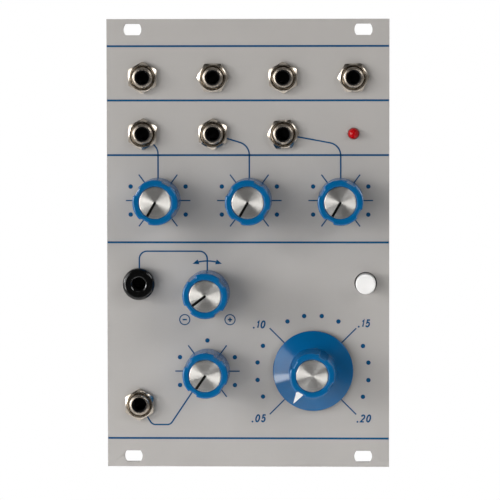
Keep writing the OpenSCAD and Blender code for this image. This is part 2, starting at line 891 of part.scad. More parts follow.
module capacitors() {
    color("Navy") for (p = caps_at) at(p) translate([0, 0, main_back]) mirror([0, 0, 1])
        rotate_extrude() polygon([
            [0, 0],
            [cap_r, 0],
            [cap_r, 0.9],
            [cap_r - 0.25, 1.15],
            [cap_r - 0.25, 1.35],
            [cap_r, 1.6],
            [cap_r, cap_h - 0.3],
            [cap_r - 0.3, cap_h],
            [cap_r - 0.6, cap_h],
            [cap_r - 0.7, cap_h - 0.15],
            [0, cap_h - 0.15]
        ]);
}

upright() front_panel();
upright() jack_housing(out_at[0]);  // out_jack_1
upright() jack_housing(out_at[1]);  // out_jack_2
upright() jack_housing(out_at[2]);  // out_jack_3
upright() jack_housing(out_at[3]);  // out_jack_4
upright() jack_housing(in_at[0]);  // in_jack_a
upright() jack_housing(in_at[1]);  // in_jack_b
upright() jack_housing(in_at[2]);  // in_jack_c
upright() jack_housing(side_control_at);  // control_jack
upright() jack_housing(side_mod_at);  // modulation_jack
upright() jack_bushings();
upright() jack_nuts();
upright() ring_nut();
upright() jack_contacts();
upright() pot_box(mixer_at[0]);  // pot_a
upright() pot_box(mixer_at[1]);  // pot_b
upright() pot_box(mixer_at[2]);  // pot_c
upright() pot_box(control_at);  // control_pot
upright() pot_box(modulation_at);  // modulation_pot
upright() pot_box(time_at);  // time_pot
upright() pot_bushings();
upright() pot_washers();
upright() pot_nuts();
upright() pot_pins();
upright() small_knob(mixer_at[0], mixer_turn);  // knob_a
upright() small_knob(mixer_at[1], mixer_turn);  // knob_b
upright() small_knob(mixer_at[2], mixer_turn);  // knob_c
upright() small_knob(control_at, control_turn);  // control_knob
upright() small_knob(modulation_at, modulation_turn);  // modulation_knob
upright() time_knob();
upright() disc(mixer_at[0], mixer_turn, knob_top, true);  // disc_a
upright() disc(mixer_at[1], mixer_turn, knob_top, true);  // disc_b
upright() disc(mixer_at[2], mixer_turn, knob_top, true);  // disc_c
upright() disc(control_at, control_turn, knob_top, true);  // control_disc
upright() disc(modulation_at, modulation_turn, knob_top, true);  // modulation_disc
upright() disc(time_at, time_turn, time_top, false);  // time_disc
upright() shaft(mixer_at[0], mixer_turn);  // shaft_a
upright() shaft(mixer_at[1], mixer_turn);  // shaft_b
upright() shaft(mixer_at[2], mixer_turn);  // shaft_c
upright() shaft(control_at, control_turn);  // control_shaft
upright() shaft(modulation_at, modulation_turn);  // modulation_shaft
upright() shaft(time_at, time_turn);  // time_shaft
upright() time_pointer();
upright() button_cap();
upright() button_plunger();
upright() switch_body();
upright() switch_spring();
upright() switch_pins();
upright() lamp_lens();
upright() lamp_leads();
upright() control_board();
upright() main_board();
upright() board_pillars();
upright() board_screws();
upright() header_plugs();
upright() header_sockets();
upright() power_shroud();
upright() power_pins();
upright() chips();
upright() capacitors();
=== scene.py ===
"""Looks of the rack delay module: finely shaped pieces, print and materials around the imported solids."""
import json
import math
import random

import bmesh
import bpy
from mathutils import Matrix, Vector


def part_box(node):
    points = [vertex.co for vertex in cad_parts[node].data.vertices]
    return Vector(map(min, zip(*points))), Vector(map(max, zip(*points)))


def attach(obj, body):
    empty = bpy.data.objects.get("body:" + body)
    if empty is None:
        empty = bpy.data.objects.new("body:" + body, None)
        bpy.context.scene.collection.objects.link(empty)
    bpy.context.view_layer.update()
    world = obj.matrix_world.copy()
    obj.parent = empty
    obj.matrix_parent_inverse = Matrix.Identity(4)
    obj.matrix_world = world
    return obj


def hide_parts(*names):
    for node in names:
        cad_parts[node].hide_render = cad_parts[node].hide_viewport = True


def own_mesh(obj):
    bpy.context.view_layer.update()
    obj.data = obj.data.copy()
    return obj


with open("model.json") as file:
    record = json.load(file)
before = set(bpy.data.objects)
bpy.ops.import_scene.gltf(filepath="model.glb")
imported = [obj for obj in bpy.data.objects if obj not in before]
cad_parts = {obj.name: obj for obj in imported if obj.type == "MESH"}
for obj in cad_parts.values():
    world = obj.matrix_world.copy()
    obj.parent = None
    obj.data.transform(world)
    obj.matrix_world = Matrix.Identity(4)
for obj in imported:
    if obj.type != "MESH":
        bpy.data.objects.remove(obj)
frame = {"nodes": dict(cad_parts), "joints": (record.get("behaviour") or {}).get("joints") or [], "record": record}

# Pieces are drawn flat, in millimetres: x to the right, y up the panel and z out of it, from its back face.
MM = 0.001
UPRIGHT = Matrix.Rotation(math.radians(90), 4, "X")
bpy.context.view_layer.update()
NODES = frame["nodes"]
MOUNTS = frame["record"]["mounts"]
ROOT = "module"


def heights(node):
    """Lowest and highest z of a CAD node, drawn flat."""
    low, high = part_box(node)
    return -high.y / MM, -low.y / MM


def middle(node):
    """Middle of a CAD node on the panel."""
    low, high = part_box(node)
    return (low.x + high.x) / 2 / MM, (low.z + high.z) / 2 / MM


def size_of(node):
    """Width and height of a CAD node on the panel."""
    low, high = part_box(node)
    return (high.x - low.x) / MM, (high.z - low.z) / MM


def radius_of(node):
    return size_of(node)[0] / 2


def spot(pos_m):
    return pos_m[0] / MM, pos_m[2] / MM


FACE = heights("front_panel")[1]
PANEL_W, PANEL_H = size_of("front_panel")
JACKS = {
    mount["name"].removesuffix("_bore"): spot(mount["pos_m"])
    for mount in MOUNTS
    if mount["name"].endswith("_bore")
}
RACK = next(mount["dims"] for mount in MOUNTS if mount["name"] == "rack_slots")
LEFT_STOP = -150
DIALS = {
    joint["child"]: (spot(joint["pos_m"]), LEFT_STOP - joint["range_deg"][0])
    for joint in frame["joints"]
    if joint["type"] == "hinge"
}
LAMP = middle("lamp_lens")
BUTTON = middle("button_cap")


# Shape helpers

SHARP_DEG = 38
SAME_SPOT_M = 1e-7
ON_AXIS = 1e-6
ROUND_SHARE = 0.49


def place(at, turn=0.0):
    """Stand a flat piece in the frame, at a spot of the panel and turned clockwise by some degrees."""
    where = Matrix.Translation((at[0] * MM, at[1] * MM, 0))
    return UPRIGHT @ where @ Matrix.Rotation(-math.radians(turn), 4, "Z")


class Shape:
    """Vertices in millimetres and faces, gathered from several forms."""

    def __init__(self, verts=(), faces=()):
        self.verts = list(verts)
        self.faces = list(faces)

    def add(self, form, at=(0, 0, 0)):
        first = len(self.verts)
        self.verts += [(x + at[0], y + at[1], z + at[2]) for x, y, z in form.verts]
        self.faces += [tuple(first + i for i in face) for face in form.faces]
        return self


def piece(name, shape, material, body, slot, where=UPRIGHT, replaced=(), sharp=SHARP_DEG):
    """A mesh object that rides on a body, with edges sharper than some degrees kept crisp."""
    mesh = bpy.data.meshes.new(name)
    mesh.from_pydata([Vector(v) * MM for v in shape.verts], [], shape.faces)
    work = bmesh.new()
    work.from_mesh(mesh)
    bmesh.ops.remove_doubles(work, verts=work.verts, dist=SAME_SPOT_M)
    bmesh.ops.recalc_face_normals(work, faces=work.faces)
    for edge in work.edges:
        if len(edge.link_faces) == 2:
            edge.smooth = edge.calc_face_angle(0) < math.radians(sharp)
    for face in work.faces:
        face.smooth = True
    work.to_mesh(mesh)
    work.free()
    mesh.materials.append(material)
    obj = bpy.data.objects.new(name, mesh)
    bpy.context.scene.collection.objects.link(obj)
    obj.matrix_world = where
    even = obj.modifiers.new("even_shading", "WEIGHTED_NORMAL")
    even.keep_sharp = True
    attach(obj, body)
    if replaced:
        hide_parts(*replaced)
    return obj


def soften(corners, steps=5):
    """A profile from corners (radius, height, rounding), where the rounding is an arc or is left out."""
    points = []
    for i, corner in enumerate(corners):
        here = Vector(corner[:2])
        rounding = corner[2] if len(corner) > 2 else 0
        if not rounding or i in (0, len(corners) - 1):
            points.append(tuple(here))
            continue
        before = Vector(corners[i - 1][:2]) - here
        after = Vector(corners[i + 1][:2]) - here
        half = before.angle(after) / 2
        reach = min(rounding / math.tan(half), ROUND_SHARE * before.length, ROUND_SHARE * after.length)
        radius = reach * math.tan(half)
        inward = (before.normalized() + after.normalized()).normalized()
        centre = here + inward * math.hypot(reach, radius)
        start = (here + before.normalized() * reach - centre).normalized()
        end = (here + after.normalized() * reach - centre).normalized()
        for step in range(steps + 1):
            points.append(tuple(centre + start.slerp(end, step / steps) * radius))
    return points


def lathe(profile, segments, shape=None, closed=False):
    """A profile turned about z. shape(radius, height, angle) may return another radius and height."""
    form = Shape()
    rings = []
    for radius, height in profile:
        ring = []
        count = segments if radius > ON_AXIS else 1
        for k in range(count):
            angle = 2 * math.pi * k / segments
            r, z = shape(radius, height, angle) if shape and count > 1 else (radius, height)
            ring.append(len(form.verts))
            form.verts.append((r * math.cos(angle), r * math.sin(angle), z))
        rings.append(ring)
    pairs = list(zip(rings, rings[1:]))
    if closed:
        pairs.append((rings[-1], rings[0]))
    for low, high in pairs:
        for k in range(segments):
            n = (k + 1) % segments
            corners = [low[k % len(low)], low[n % len(low)], high[n % len(high)], high[k % len(high)]]
            face = list(dict.fromkeys(corners))
            if len(face) > 2:
                form.faces.append(tuple(face))
    return form


def loft(rings, closed=False):
    """A solid through rings of points. It has flat ends, or goes on to its first ring."""
    count = len(rings[0])
    form = Shape([point for ring in rings for point in ring])
    for k in range(len(rings) if closed else len(rings) - 1):
        low, high = k * count, (k + 1) % len(rings) * count
        for i in range(count):
            n = (i + 1) % count
            form.faces.append((low + i, low + n, high + n, high + i))
    if not closed:
        last = len(form.verts) - count
        form.faces += [tuple(range(count - 1, -1, -1)), tuple(range(last, last + count))]
    return form


def lift(outline, z):
    return [(x, y, z) for x, y in outline]


def stack(w, h, levels):
    """A block about the z axis, from levels (how far it is set in, z)."""
    return loft([lift(rectangle((0, 0), w - 2 * inset, h - 2 * inset), z) for inset, z in levels])


def prism(outline, z0, z1):
    """An outline (x, y) raised from z0 to z1."""
    return loft([lift(outline, z0), lift(outline, z1)])


def band(path, wide, z0, z1, closed=False):
    """A flat band of some width along a path (x, y)."""
    points = [Vector(p) for p in path]
    count = len(points)
    left, right = [], []
    for i, here in enumerate(points):
        before = points[i - 1] if closed or i else here
        after = points[(i + 1) % count] if closed or i < count - 1 else here
        a = (here - before).normalized() if (here - before).length else (after - here).normalized()
        b = (after - here).normalized() if (after - here).length else a
        normal = Vector((-(a + b).y, (a + b).x)).normalized()
        across = normal * (wide / 2 / max(0.5, normal.dot(Vector((-a.y, a.x)))))
        left.append(here + across)
        right.append(here - across)
    form = Shape((p.x, p.y, z) for z in (z0, z1) for p in left + right)
    low_left, low_right, top_left, top_right = (n * count for n in range(4))
    for i in range(count if closed else count - 1):
        n = (i + 1) % count
        form.faces.append((top_left + i, top_right + i, top_right + n, top_left + n))
        form.faces.append((low_left + n, low_right + n, low_right + i, low_left + i))
        form.faces.append((low_left + i, top_left + i, top_left + n, low_left + n))
        form.faces.append((low_right + n, top_right + n, top_right + i, low_right + i))
    if not closed:
        for i, flip in ((0, False), (count - 1, True)):
            end = (low_left + i, low_right + i, top_right + i, top_left + i)
            form.faces.append(end[::-1] if flip else end)
    return form


def circle(radius, at=(0, 0), count=64):
    points = []
    for k in range(count):
        angle = 2 * math.pi * k / count
        points.append((at[0] + radius * math.cos(angle), at[1] + radius * math.sin(angle)))
    return points


def arc(centre, reach, start, end, count=14):
    """Points of an oval arc between two angles, in degrees against the clock from the right."""
    points = []
    for k in range(count + 1):
        angle = math.radians(start + (end - start) * k / count)
        points.append((centre[0] + reach[0] * math.cos(angle), centre[1] + reach[1] * math.sin(angle)))
    return points


def oval(centre, reach, count):
    return arc(centre, reach, 0, 360 - 360 / count, count - 1)


def rectangle(at, w, h):
    return [(at[0] + x * w / 2, at[1] + y * h / 2) for x, y in ((-1, -1), (1, -1), (1, 1), (-1, 1))]


def bend(corners, radius, steps=8):
    """A path whose inner corners are arcs of one radius."""
    return soften([(*corners[0], 0), *[(*c, radius) for c in corners[1:-1]], (*corners[-1], 0)], steps)


def sheet(outline, holes, z0, z1, edge):
    """A flat sheet with holes and slightly broken edges."""
    curve = bpy.data.curves.new("outline", "CURVE")
    curve.dimensions = "2D"
    curve.fill_mode = "BOTH"
    curve.extrude = ((z1 - z0) / 2 - edge) * MM
    curve.bevel_depth = edge * MM
    curve.bevel_resolution = 1
    curve.offset = -edge * MM
    for loop in [outline, *holes]:
        spline = curve.splines.new("POLY")
        spline.points.add(len(loop) - 1)
        for point, (x, y) in zip(spline.points, loop):
            point.co = (x * MM, y * MM, 0, 1)
        spline.use_cyclic_u = True
    drawn = bpy.data.objects.new("outline", curve)
    bpy.context.scene.collection.objects.link(drawn)
    bpy.context.view_layer.update()
    mesh = bpy.data.meshes.new_from_object(drawn.evaluated_get(bpy.context.evaluated_depsgraph_get()))
    bpy.data.objects.remove(drawn)
    verts = [(v.co.x / MM, v.co.y / MM, v.co.z / MM + (z0 + z1) / 2) for v in mesh.vertices]
    form = Shape(verts, [tuple(p.vertices) for p in mesh.polygons])
    bpy.data.meshes.remove(mesh)
    bpy.data.curves.remove(curve)
    return form


# Materials


def shader_of(made):
    return made.node_tree.nodes["Principled BSDF"]


def new_material(name, color, roughness, metallic=0.0, specular=0.5):
    made = bpy.data.materials.new(name)
    made.use_nodes = True
    inputs = shader_of(made).inputs
    inputs["Base Color"].default_value = (*color, 1)
    inputs["Roughness"].default_value = roughness
    inputs["Metallic"].default_value = metallic
    inputs["Specular IOR Level"].default_value = specular
    return made


def add(made, kind, **settings):
    node = made.node_tree.nodes.new(kind)
    for key, value in settings.items():
        setattr(node, key, value)
    return node


def join(made, source, target):
    made.node_tree.links.new(source, target)


def calc(made, operation, *values):
    """An operation on sockets and numbers, as a socket."""
    node = add(made, "ShaderNodeMath", operation=operation)
    for socket, value in zip(node.inputs, values):
        if isinstance(value, float):
            socket.default_value = value
        else:
            join(made, value, socket)
    return node.outputs["Value"]


def remap(made, value, span, low=0.0, high=1.0, kind="LINEAR"):
    """A socket's value over a span, on a scale from low to high, as a socket."""
    node = add(made, "ShaderNodeMapRange", interpolation_type=kind)
    for name, limit in zip(("From Min", "From Max", "To Min", "To Max"), (*span, low, high)):
        node.inputs[name].default_value = limit
    join(made, value, node.inputs["Value"])
    return node.outputs["Result"]


def axes(made, kind):
    """The x, y and z of some coordinates, as sockets."""
    parts = add(made, "ShaderNodeSeparateXYZ")
    join(made, add(made, "ShaderNodeTexCoord").outputs[kind], parts.inputs["Vector"])
    return parts.outputs


def from_axis(made):
    """How far a point is from the z axis of its piece, as a socket."""
    flat = add(made, "ShaderNodeVectorMath", operation="MULTIPLY")
    flat.inputs[1].default_value = (1, 1, 0)
    length = add(made, "ShaderNodeVectorMath", operation="LENGTH")
    join(made, add(made, "ShaderNodeTexCoord").outputs["Object"], flat.inputs[0])
    join(made, flat.outputs["Vector"], length.inputs[0])
    return length.outputs["Value"]


def noise(made, size_mm, detail, stretch=(1, 1, 1)):
    """Noise with features of about that size, in the piece's own coordinates."""
    coords = add(made, "ShaderNodeTexCoord")
    mapping = add(made, "ShaderNodeMapping")
    mapping.inputs["Scale"].default_value = stretch
    join(made, coords.outputs["Object"], mapping.inputs["Vector"])
    texture = add(made, "ShaderNodeTexNoise")
    texture.inputs["Scale"].default_value = 1 / (size_mm * MM)
    texture.inputs["Detail"].default_value = detail
    join(made, mapping.outputs["Vector"], texture.inputs["Vector"])
    return texture.outputs["Fac"]


def blend_colors(made, factor, low, high):
    """A colour between two, as an output socket. Each of the two is a colour or a socket."""
    mix = add(made, "ShaderNodeMix", data_type="RGBA")
    for socket, value in zip((s for s in mix.inputs if s.type == "RGBA"), (low, high)):
        if isinstance(value, tuple):
            socket.default_value = (*value, 1)
        else:
            join(made, value, socket)
    join(made, factor, mix.inputs["Factor"])
    return next(s for s in mix.outputs if s.type == "RGBA")


def vary_color(made, factor, low, high):
    join(made, blend_colors(made, factor, low, high), shader_of(made).inputs["Base Color"])


NOISE_SPAN = (0.3, 0.7)


def vary_roughness(made, factor, low, high):
    join(made, remap(made, factor, NOISE_SPAN, low, high), shader_of(made).inputs["Roughness"])


def emboss(made, factor, depth_mm, strength):
    bump = add(made, "ShaderNodeBump")
    bump.inputs["Distance"].default_value = depth_mm * MM
    bump.inputs["Strength"].default_value = strength
    join(made, factor, bump.inputs["Height"])
    join(made, bump.outputs["Normal"], shader_of(made).inputs["Normal"])


def tint(color, factor):
    return tuple(min(1.0, c * factor) for c in color)


def surface(name, color, roughness, clouds, gloss, grain=None, metallic=0.0, specular=0.5):
    """A material with noise in its colour, its roughness and its height.

    Each noise has its size in millimetres and its detail. Clouds go on with the darkest and the palest
    share of the colour, gloss with the lowest and the highest roughness, and grain with its depth and
    strength.
    """
    made = new_material(name, color, roughness, metallic, specular)
    size, detail, dark, pale = clouds
    vary_color(made, noise(made, size, detail), tint(color, dark), tint(color, pale))
    size, detail, low, high = gloss
    vary_roughness(made, noise(made, size, detail), low, high)
    if grain:
        size, detail, depth, strength = grain
        emboss(made, noise(made, size, detail), depth, strength)
    return made


def moulded(name, color, roughness, grain_mm=0.25, depth_mm=0.004, specular=0.5):
    """Moulded plastic: a faint cloud in the colour, and a fine grain."""
    gloss = (1.2, 4, roughness * 0.85, roughness * 1.2)
    grain = (grain_mm, 2, depth_mm, 0.4)
    return surface(name, color, roughness, (3, 3, 0.92, 1.08), gloss, grain, specular=specular)


def metal(name, color, roughness, grain_mm=0.4, depth_mm=0.003):
    """Bright metal with fine handling marks."""
    gloss = (grain_mm, 4, roughness * 0.75, roughness * 1.35)
    grain = (grain_mm, 3, depth_mm, 0.3)
    return surface(name, color, roughness, (1.5, 4, 0.93, 1.05), gloss, grain, metallic=1.0)


RING_MM = 0.06
QUARTER_TURN = 0.25


def spun_metal():
    """Disc turned in circles: the gloss is drawn out around the axis, over fine rings."""
    color = (0.605, 0.59, 0.567)
    made = new_material("spun_metal", color, 0.28, 1.0)
    shader = shader_of(made)
    shader.inputs["Anisotropic"].default_value = 1.0
    shader.inputs["Anisotropic Rotation"].default_value = QUARTER_TURN
    tangent = add(made, "ShaderNodeTangent", direction_type="RADIAL", axis="Z")
    join(made, tangent.outputs["Tangent"], shader.inputs["Tangent"])
    rings = add(made, "ShaderNodeTexNoise", noise_dimensions="1D")
    rings.inputs["Scale"].default_value = 1 / (RING_MM * MM)
    rings.inputs["Detail"].default_value = 4
    join(made, from_axis(made), rings.inputs["W"])
    vary_roughness(made, rings.outputs["Fac"], 0.265, 0.295)
    vary_color(made, rings.outputs["Fac"], tint(color, 0.97), tint(color, 1.03))
    return made


def board_mask():
    """Solder mask over the weave of the board, and bare laminate on its edges."""
    color, laminate = (0.012, 0.085, 0.045), (0.33, 0.29, 0.13)
    made = new_material("board_mask", color, 0.32)
    masked = blend_colors(made, noise(made, 2.2, 4), tint(color, 0.8), tint(color, 1.2))
    bare = blend_colors(made, noise(made, 0.4, 3, (1, 6, 1)), tint(laminate, 0.7), tint(laminate, 1.2))
    vary_color(made, calc(made, "ABSOLUTE", axes(made, "Normal")["Y"]), bare, masked)
    vary_roughness(made, noise(made, 0.8, 3), 0.26, 0.4)
    emboss(made, noise(made, 0.5, 2, (1, 1, 6)), 0.006, 0.3)
    return made


COAT_GRAIN = (0.18, 2, 0.004, 0.35)
PANEL_COAT = surface(
    "panel_coat", (0.383, 0.366, 0.350), 0.5, (9, 4, 0.97, 1.03), (0.5, 3, 0.44, 0.56), COAT_GRAIN
)
INK = surface(
    "printing_ink", (0.001, 0.058, 0.155), 0.5, (0.6, 3, 0.85, 1.15), (0.3, 2, 0.38, 0.55), specular=0.1
)
KNOB_COLOR = (0.0, 0.093, 0.248)
KNOB_BLUE = moulded("knob_blue", KNOB_COLOR, 0.1, depth_mm=0.0015)
# Paler copy of the knob colour for the walls of the small knobs: painted sheen, for the panel mirrored in them.
KNOB_WALL_PAINTED_SHEEN = moulded("knob_wall_painted_sheen", tint(KNOB_COLOR, 1.2), 0.24, depth_mm=0.0015, specular=0.2)
KNOB_SIDE = moulded("knob_side", KNOB_COLOR, 0.4, specular=0.05)
BLACK_GLOSS = moulded("black_gloss", (0.002, 0.002, 0.002), 0.09)
BLACK_MATT = moulded("black_matt", (0.018, 0.018, 0.019), 0.42)
POT_BODY = moulded("pot_body", (0.03, 0.03, 0.033), 0.45)
WHITE_PLASTIC = moulded("white_plastic", (0.83, 0.82, 0.805), 0.3)
LINE_PAINT = moulded("line_paint", (0.003, 0.003, 0.003), 0.7, specular=0.05)
NICKEL = metal("nickel", (0.49, 0.435, 0.37), 0.18, 0.2, 0.001)
SATIN_NICKEL = metal("satin_nickel", (0.37, 0.325, 0.274), 0.26, 0.2, 0.001)
STEEL = metal("steel", (0.62, 0.62, 0.62), 0.25)
TIN = metal("tin", (0.66, 0.65, 0.62), 0.3)
GOLD = metal("gold", (0.75, 0.55, 0.22), 0.25)
BRASS = metal("brass", (0.72, 0.52, 0.22), 0.3)
SPUN = spun_metal()
LAMP_RED = surface(
    "lamp_resin", (0.4, 0.001, 0.003), 0.05, (1.2, 2, 0.93, 1.07), (0.5, 2, 0.035, 0.07), specular=0.25
)
BOARD_MASK = board_mask()
TRACK = moulded("track_mask", (0.03, 0.19, 0.095), 0.3)
SILK = moulded("silk_print", (0.7, 0.7, 0.66), 0.6)
CHIP_BLACK = moulded("chip_black", (0.022, 0.022, 0.024), 0.5, 0.12, 0.008)
CAN_SLEEVE = moulded("can_sleeve", (0.01, 0.012, 0.03), 0.25)
CAN_TOP = metal("can_top", (0.7, 0.7, 0.7), 0.32)
CERAMIC = moulded("ceramic", (0.32, 0.22, 0.13), 0.4)
RESIST = moulded("resist", (0.02, 0.02, 0.022), 0.35)


# Front panel and its print

PANEL_EDGE = 0.12
PANEL_SHARP_DEG = 25
SLOT_L = RACK["slot_length_mm"]
SLOT_W = 2 * RACK["hole_r_mm"]
SLOT_END_R = 2.5
SLOT_STEPS = 16
JACK_HOLE_R = 3.1
POT_HOLE_R = 3.6
LAMP_HOLE_R = 1.65
BUTTON_HOLE_R = 3.2


def slot_outline(at):
    """A slot with straight sides and two ends that are arcs, flatter than half circles."""
    reach = SLOT_L / 2 - SLOT_END_R
    limit = math.asin(SLOT_W / 2 / SLOT_END_R)
    points = []
    for side in (0, math.pi):
        for k in range(SLOT_STEPS + 1):
            angle = side - limit + 2 * limit * k / SLOT_STEPS
            x = reach * math.cos(side) + SLOT_END_R * math.cos(angle)
            points.append((at[0] + x, at[1] + SLOT_END_R * math.sin(angle)))
    return points


def front_panel():
    sx, sy = RACK["spacing_x_mm"] / 2, RACK["spacing_y_mm"] / 2
    holes = [slot_outline((x, y)) for x in (-sx, sx) for y in (-sy, sy)]
    holes += [circle(JACK_HOLE_R, at) for at in JACKS.values()]
    holes += [circle(POT_HOLE_R, at) for at, turn in DIALS.values()]
    holes += [circle(LAMP_HOLE_R, LAMP), circle(BUTTON_HOLE_R, BUTTON)]
    form = sheet(rectangle((0, 0), PANEL_W, PANEL_H), holes, 0, FACE, PANEL_EDGE)
    piece("panel_sheet", form, PANEL_COAT, ROOT, "panel", replaced=["front_panel"], sharp=PANEL_SHARP_DEG)


INK_T = 0.025
DIVIDER_W = 0.55
TRACE_W = 0.42
TICK_W = 0.36
DOT_R = 0.64
DIVIDERS = (56.5, 41.0, 25.35, 0.35, -56.05)
SMALL_DIAL = {"ticks": (-143.3, -90, -36.7, 36.7, 90, 143.3), "dots": (-117, -63, 63, 117)}
TICK_OUT_R = 9.25
TICK_IN_R = 6.0
DOT_RING_R = 8.85
BIG_DIAL = {"ticks": (-135, -45, 45, 135), "dots": (-117, -99, -81, -63, -27, -9, 9, 27, 63, 81, 99, 117)}
BIG_TICK_OUT_R = 17.55
BIG_TICK_IN_R = 10.6
BIG_DOT_RING_R = 16.1
BIG_SCALE_SHIFT = (-0.05, -0.25)


def polar(at, radius, turn):
    """A spot at some radius from another, clockwise from straight up."""
    angle = math.radians(turn)
    return at[0] + radius * math.sin(angle), at[1] + radius * math.cos(angle)


def toward(at, target, distance):
    step = (Vector(target) - Vector(at)).normalized() * distance
    return at[0] + step.x, at[1] + step.y


class Print(Shape):
    """Ink on the face of the panel."""

    def line(self, path, wide, closed=False):
        self.add(band(path, wide, FACE, FACE + INK_T, closed))

    def patch(self, outline):
        self.add(prism(outline, FACE, FACE + INK_T))

    def dot(self, at, radius=DOT_R):
        self.patch(circle(radius, at, count=32))


def dial_scale(ink, at, scale, inner, outer, ring):
    for turn in scale["ticks"]:
        ink.line([polar(at, inner, turn), polar(at, outer, turn)], TICK_W)
    for turn in scale["dots"]:
        ink.dot(polar(at, ring, turn))


# How far below its jack each input trace turns down
INPUT_DROPS = {"a": 4.2, "b": 3.18, "c": 3.05}
INPUT_START = 3.0
INPUT_BEND = 3.7
JACK_START = 4.0


def input_traces(ink):
    """Lines from the three input jacks down to the three upper dials."""
    for letter, drop in INPUT_DROPS.items():
        start = JACKS[f"in_{letter}"]
        end = DIALS[f"dial_{letter}"][0]
        corner = (end[0], start[1] - drop)
        path = [toward(start, corner, INPUT_START), corner, (end[0], end[1] + TICK_IN_R)]
        ink.line(bend(path, INPUT_BEND), TRACE_W)


CONTROL_TOP = -2.2
CONTROL_BEND = 2.2
ARROW_TOP = -5.0
ARROW_R = 11.4
ARROW_HALF = 17.5
ARROW_STEPS = 16
HEAD_TIP = 4.2
HEAD_BASE = 3.0
HEAD_L = 1.8
HEAD_FLARE = 0.75
SIGN_X = 6.5
SIGN_Y = -7.77
SIGN_R = 1.45
SIGN_RING_W = 0.3
SIGN_BAR = 0.62
SIGN_BAR_W = 0.4


def control_marks(ink):
    """Trace from the control jack over to its dial, the turning arrow, and the minus and plus signs."""
    jack, dial = JACKS["control_in"], DIALS["control_dial"][0]
    over = [(jack[0], CONTROL_TOP), (dial[0], CONTROL_TOP)]
    path = [(jack[0], jack[1] + JACK_START), *over, (dial[0], dial[1] + TICK_IN_R)]
    ink.line(bend(path, CONTROL_BEND), TRACE_W)
    centre = (dial[0], ARROW_TOP - ARROW_R)
    turns = [-ARROW_HALF + 2 * ARROW_HALF * k / ARROW_STEPS for k in range(ARROW_STEPS + 1)]
    ink.line([polar(centre, ARROW_R, turn) for turn in turns], TRACE_W)
    for side in (-1, 1):
        tip = polar(centre, ARROW_R, side * (ARROW_HALF + HEAD_TIP))
        base = polar(centre, ARROW_R, side * (ARROW_HALF - HEAD_BASE))
        back = (Vector(base) - Vector(tip)).normalized() * HEAD_L
        across = Vector((-back.y, back.x)).normalized() * HEAD_FLARE
        foot = Vector(tip) + back
        ink.patch([tip, tuple(foot + across), tuple(foot - across)])
        x, y = dial[0] + side * SIGN_X, dial[1] + SIGN_Y
        ink.line(circle(SIGN_R, (x, y), count=48), SIGN_RING_W, True)
        ink.line([(x - SIGN_BAR, y), (x + SIGN_BAR, y)], SIGN_BAR_W)
        if side > 0:
            ink.line([(x, y - SIGN_BAR), (x, y + SIGN_BAR)], SIGN_BAR_W)


MODULATION_LOW = -52.15
MODULATION_LEFT = -27.6
MODULATION_RIGHT = -22.4
MODULATION_BEND = 1.7


def modulation_trace(ink):
    corner = (MODULATION_LEFT, MODULATION_LOW)
    start = toward(JACKS["modulation_in"], corner, JACK_START)
    end = polar(DIALS["modulation_dial"][0], TICK_IN_R, SMALL_DIAL["ticks"][0])
    ink.line(bend([start, corner, (MODULATION_RIGHT, MODULATION_LOW), end], MODULATION_BEND), TRACE_W)


DIGIT_H = 2.35
DIGIT_STROKE = 0.44
DIGIT_SLANT = 0.2
DIGIT_GAP = 0.3
POINT_R = 0.6 * DIGIT_STROKE
DIGIT_W = {".": 0.5, "0": 1.4, "1": 0.85, "2": 1.4, "5": 1.35}
NUMBERS = {".05": (-17.6, -14.75), ".10": (-17.2, 12.3), ".15": (12.9, 12.65), ".20": (12.55, -14.75)}
# Strokes in a square of one by one
DIGIT_PATHS = {
    "0": arc((0.5, 0.5), (0.5, 0.5), 0, 350, 35),
    "1": [(0.0, 0.74), (0.75, 1.0), (0.75, 0.0)],
    "2": arc((0.5, 0.71), (0.48, 0.29), 165, -35) + [(0.02, 0.0), (1.0, 0.0)],
    "5": [(0.95, 1.0), (0.2, 1.0), (0.1, 0.54)] + arc((0.47, 0.33), (0.5, 0.33), 115, -155),
}


def dial_numbers(ink, at):
    """Plain numbers around the big dial, drawn as leaning strokes."""
    inset = DIGIT_STROKE / 2
    for number, (x, y) in NUMBERS.items():
        left = at[0] + x
        low = at[1] + y
        for digit in number:
            wide = DIGIT_W[digit]
            if digit == ".":
                ink.dot((left + inset, low + inset), POINT_R)
            else:
                path = []
                for u, v in DIGIT_PATHS[digit]:
                    rise = inset + v * (DIGIT_H - DIGIT_STROKE)
                    path.append((left + inset + u * (wide - DIGIT_STROKE) + DIGIT_SLANT * rise, low + rise))
                ink.line(path, DIGIT_STROKE, digit == "0")
            left += wide + DIGIT_GAP


def panel_print():
    ink = Print()
    for y in DIVIDERS:
        ink.line([(-PANEL_W / 2 + PANEL_EDGE, y), (PANEL_W / 2 - PANEL_EDGE, y)], DIVIDER_W)
    for dial in ("dial_a", "dial_b", "dial_c"):
        dial_scale(ink, DIALS[dial][0], SMALL_DIAL, TICK_IN_R, TICK_OUT_R, DOT_RING_R)
    modulation = {"ticks": SMALL_DIAL["ticks"][1:], "dots": (*SMALL_DIAL["dots"], 0)}
    dial_scale(ink, DIALS["modulation_dial"][0], modulation, TICK_IN_R, TICK_OUT_R, DOT_RING_R)
    big = DIALS["time_dial"][0]
    big = (big[0] + BIG_SCALE_SHIFT[0], big[1] + BIG_SCALE_SHIFT[1])
    dial_scale(ink, big, BIG_DIAL, BIG_TICK_IN_R, BIG_TICK_OUT_R, BIG_DOT_RING_R)
    dial_numbers(ink, big)
    input_traces(ink)
    control_marks(ink)
    modulation_trace(ink)
    piece("panel_print", ink, INK, ROOT, "panel")


# Jacks

JACK_R = 3.0
JACK_TIP = heights("jack_bushings")[1]
JACK_TAIL = 2.0
JACK_TAIL_R = 2.6
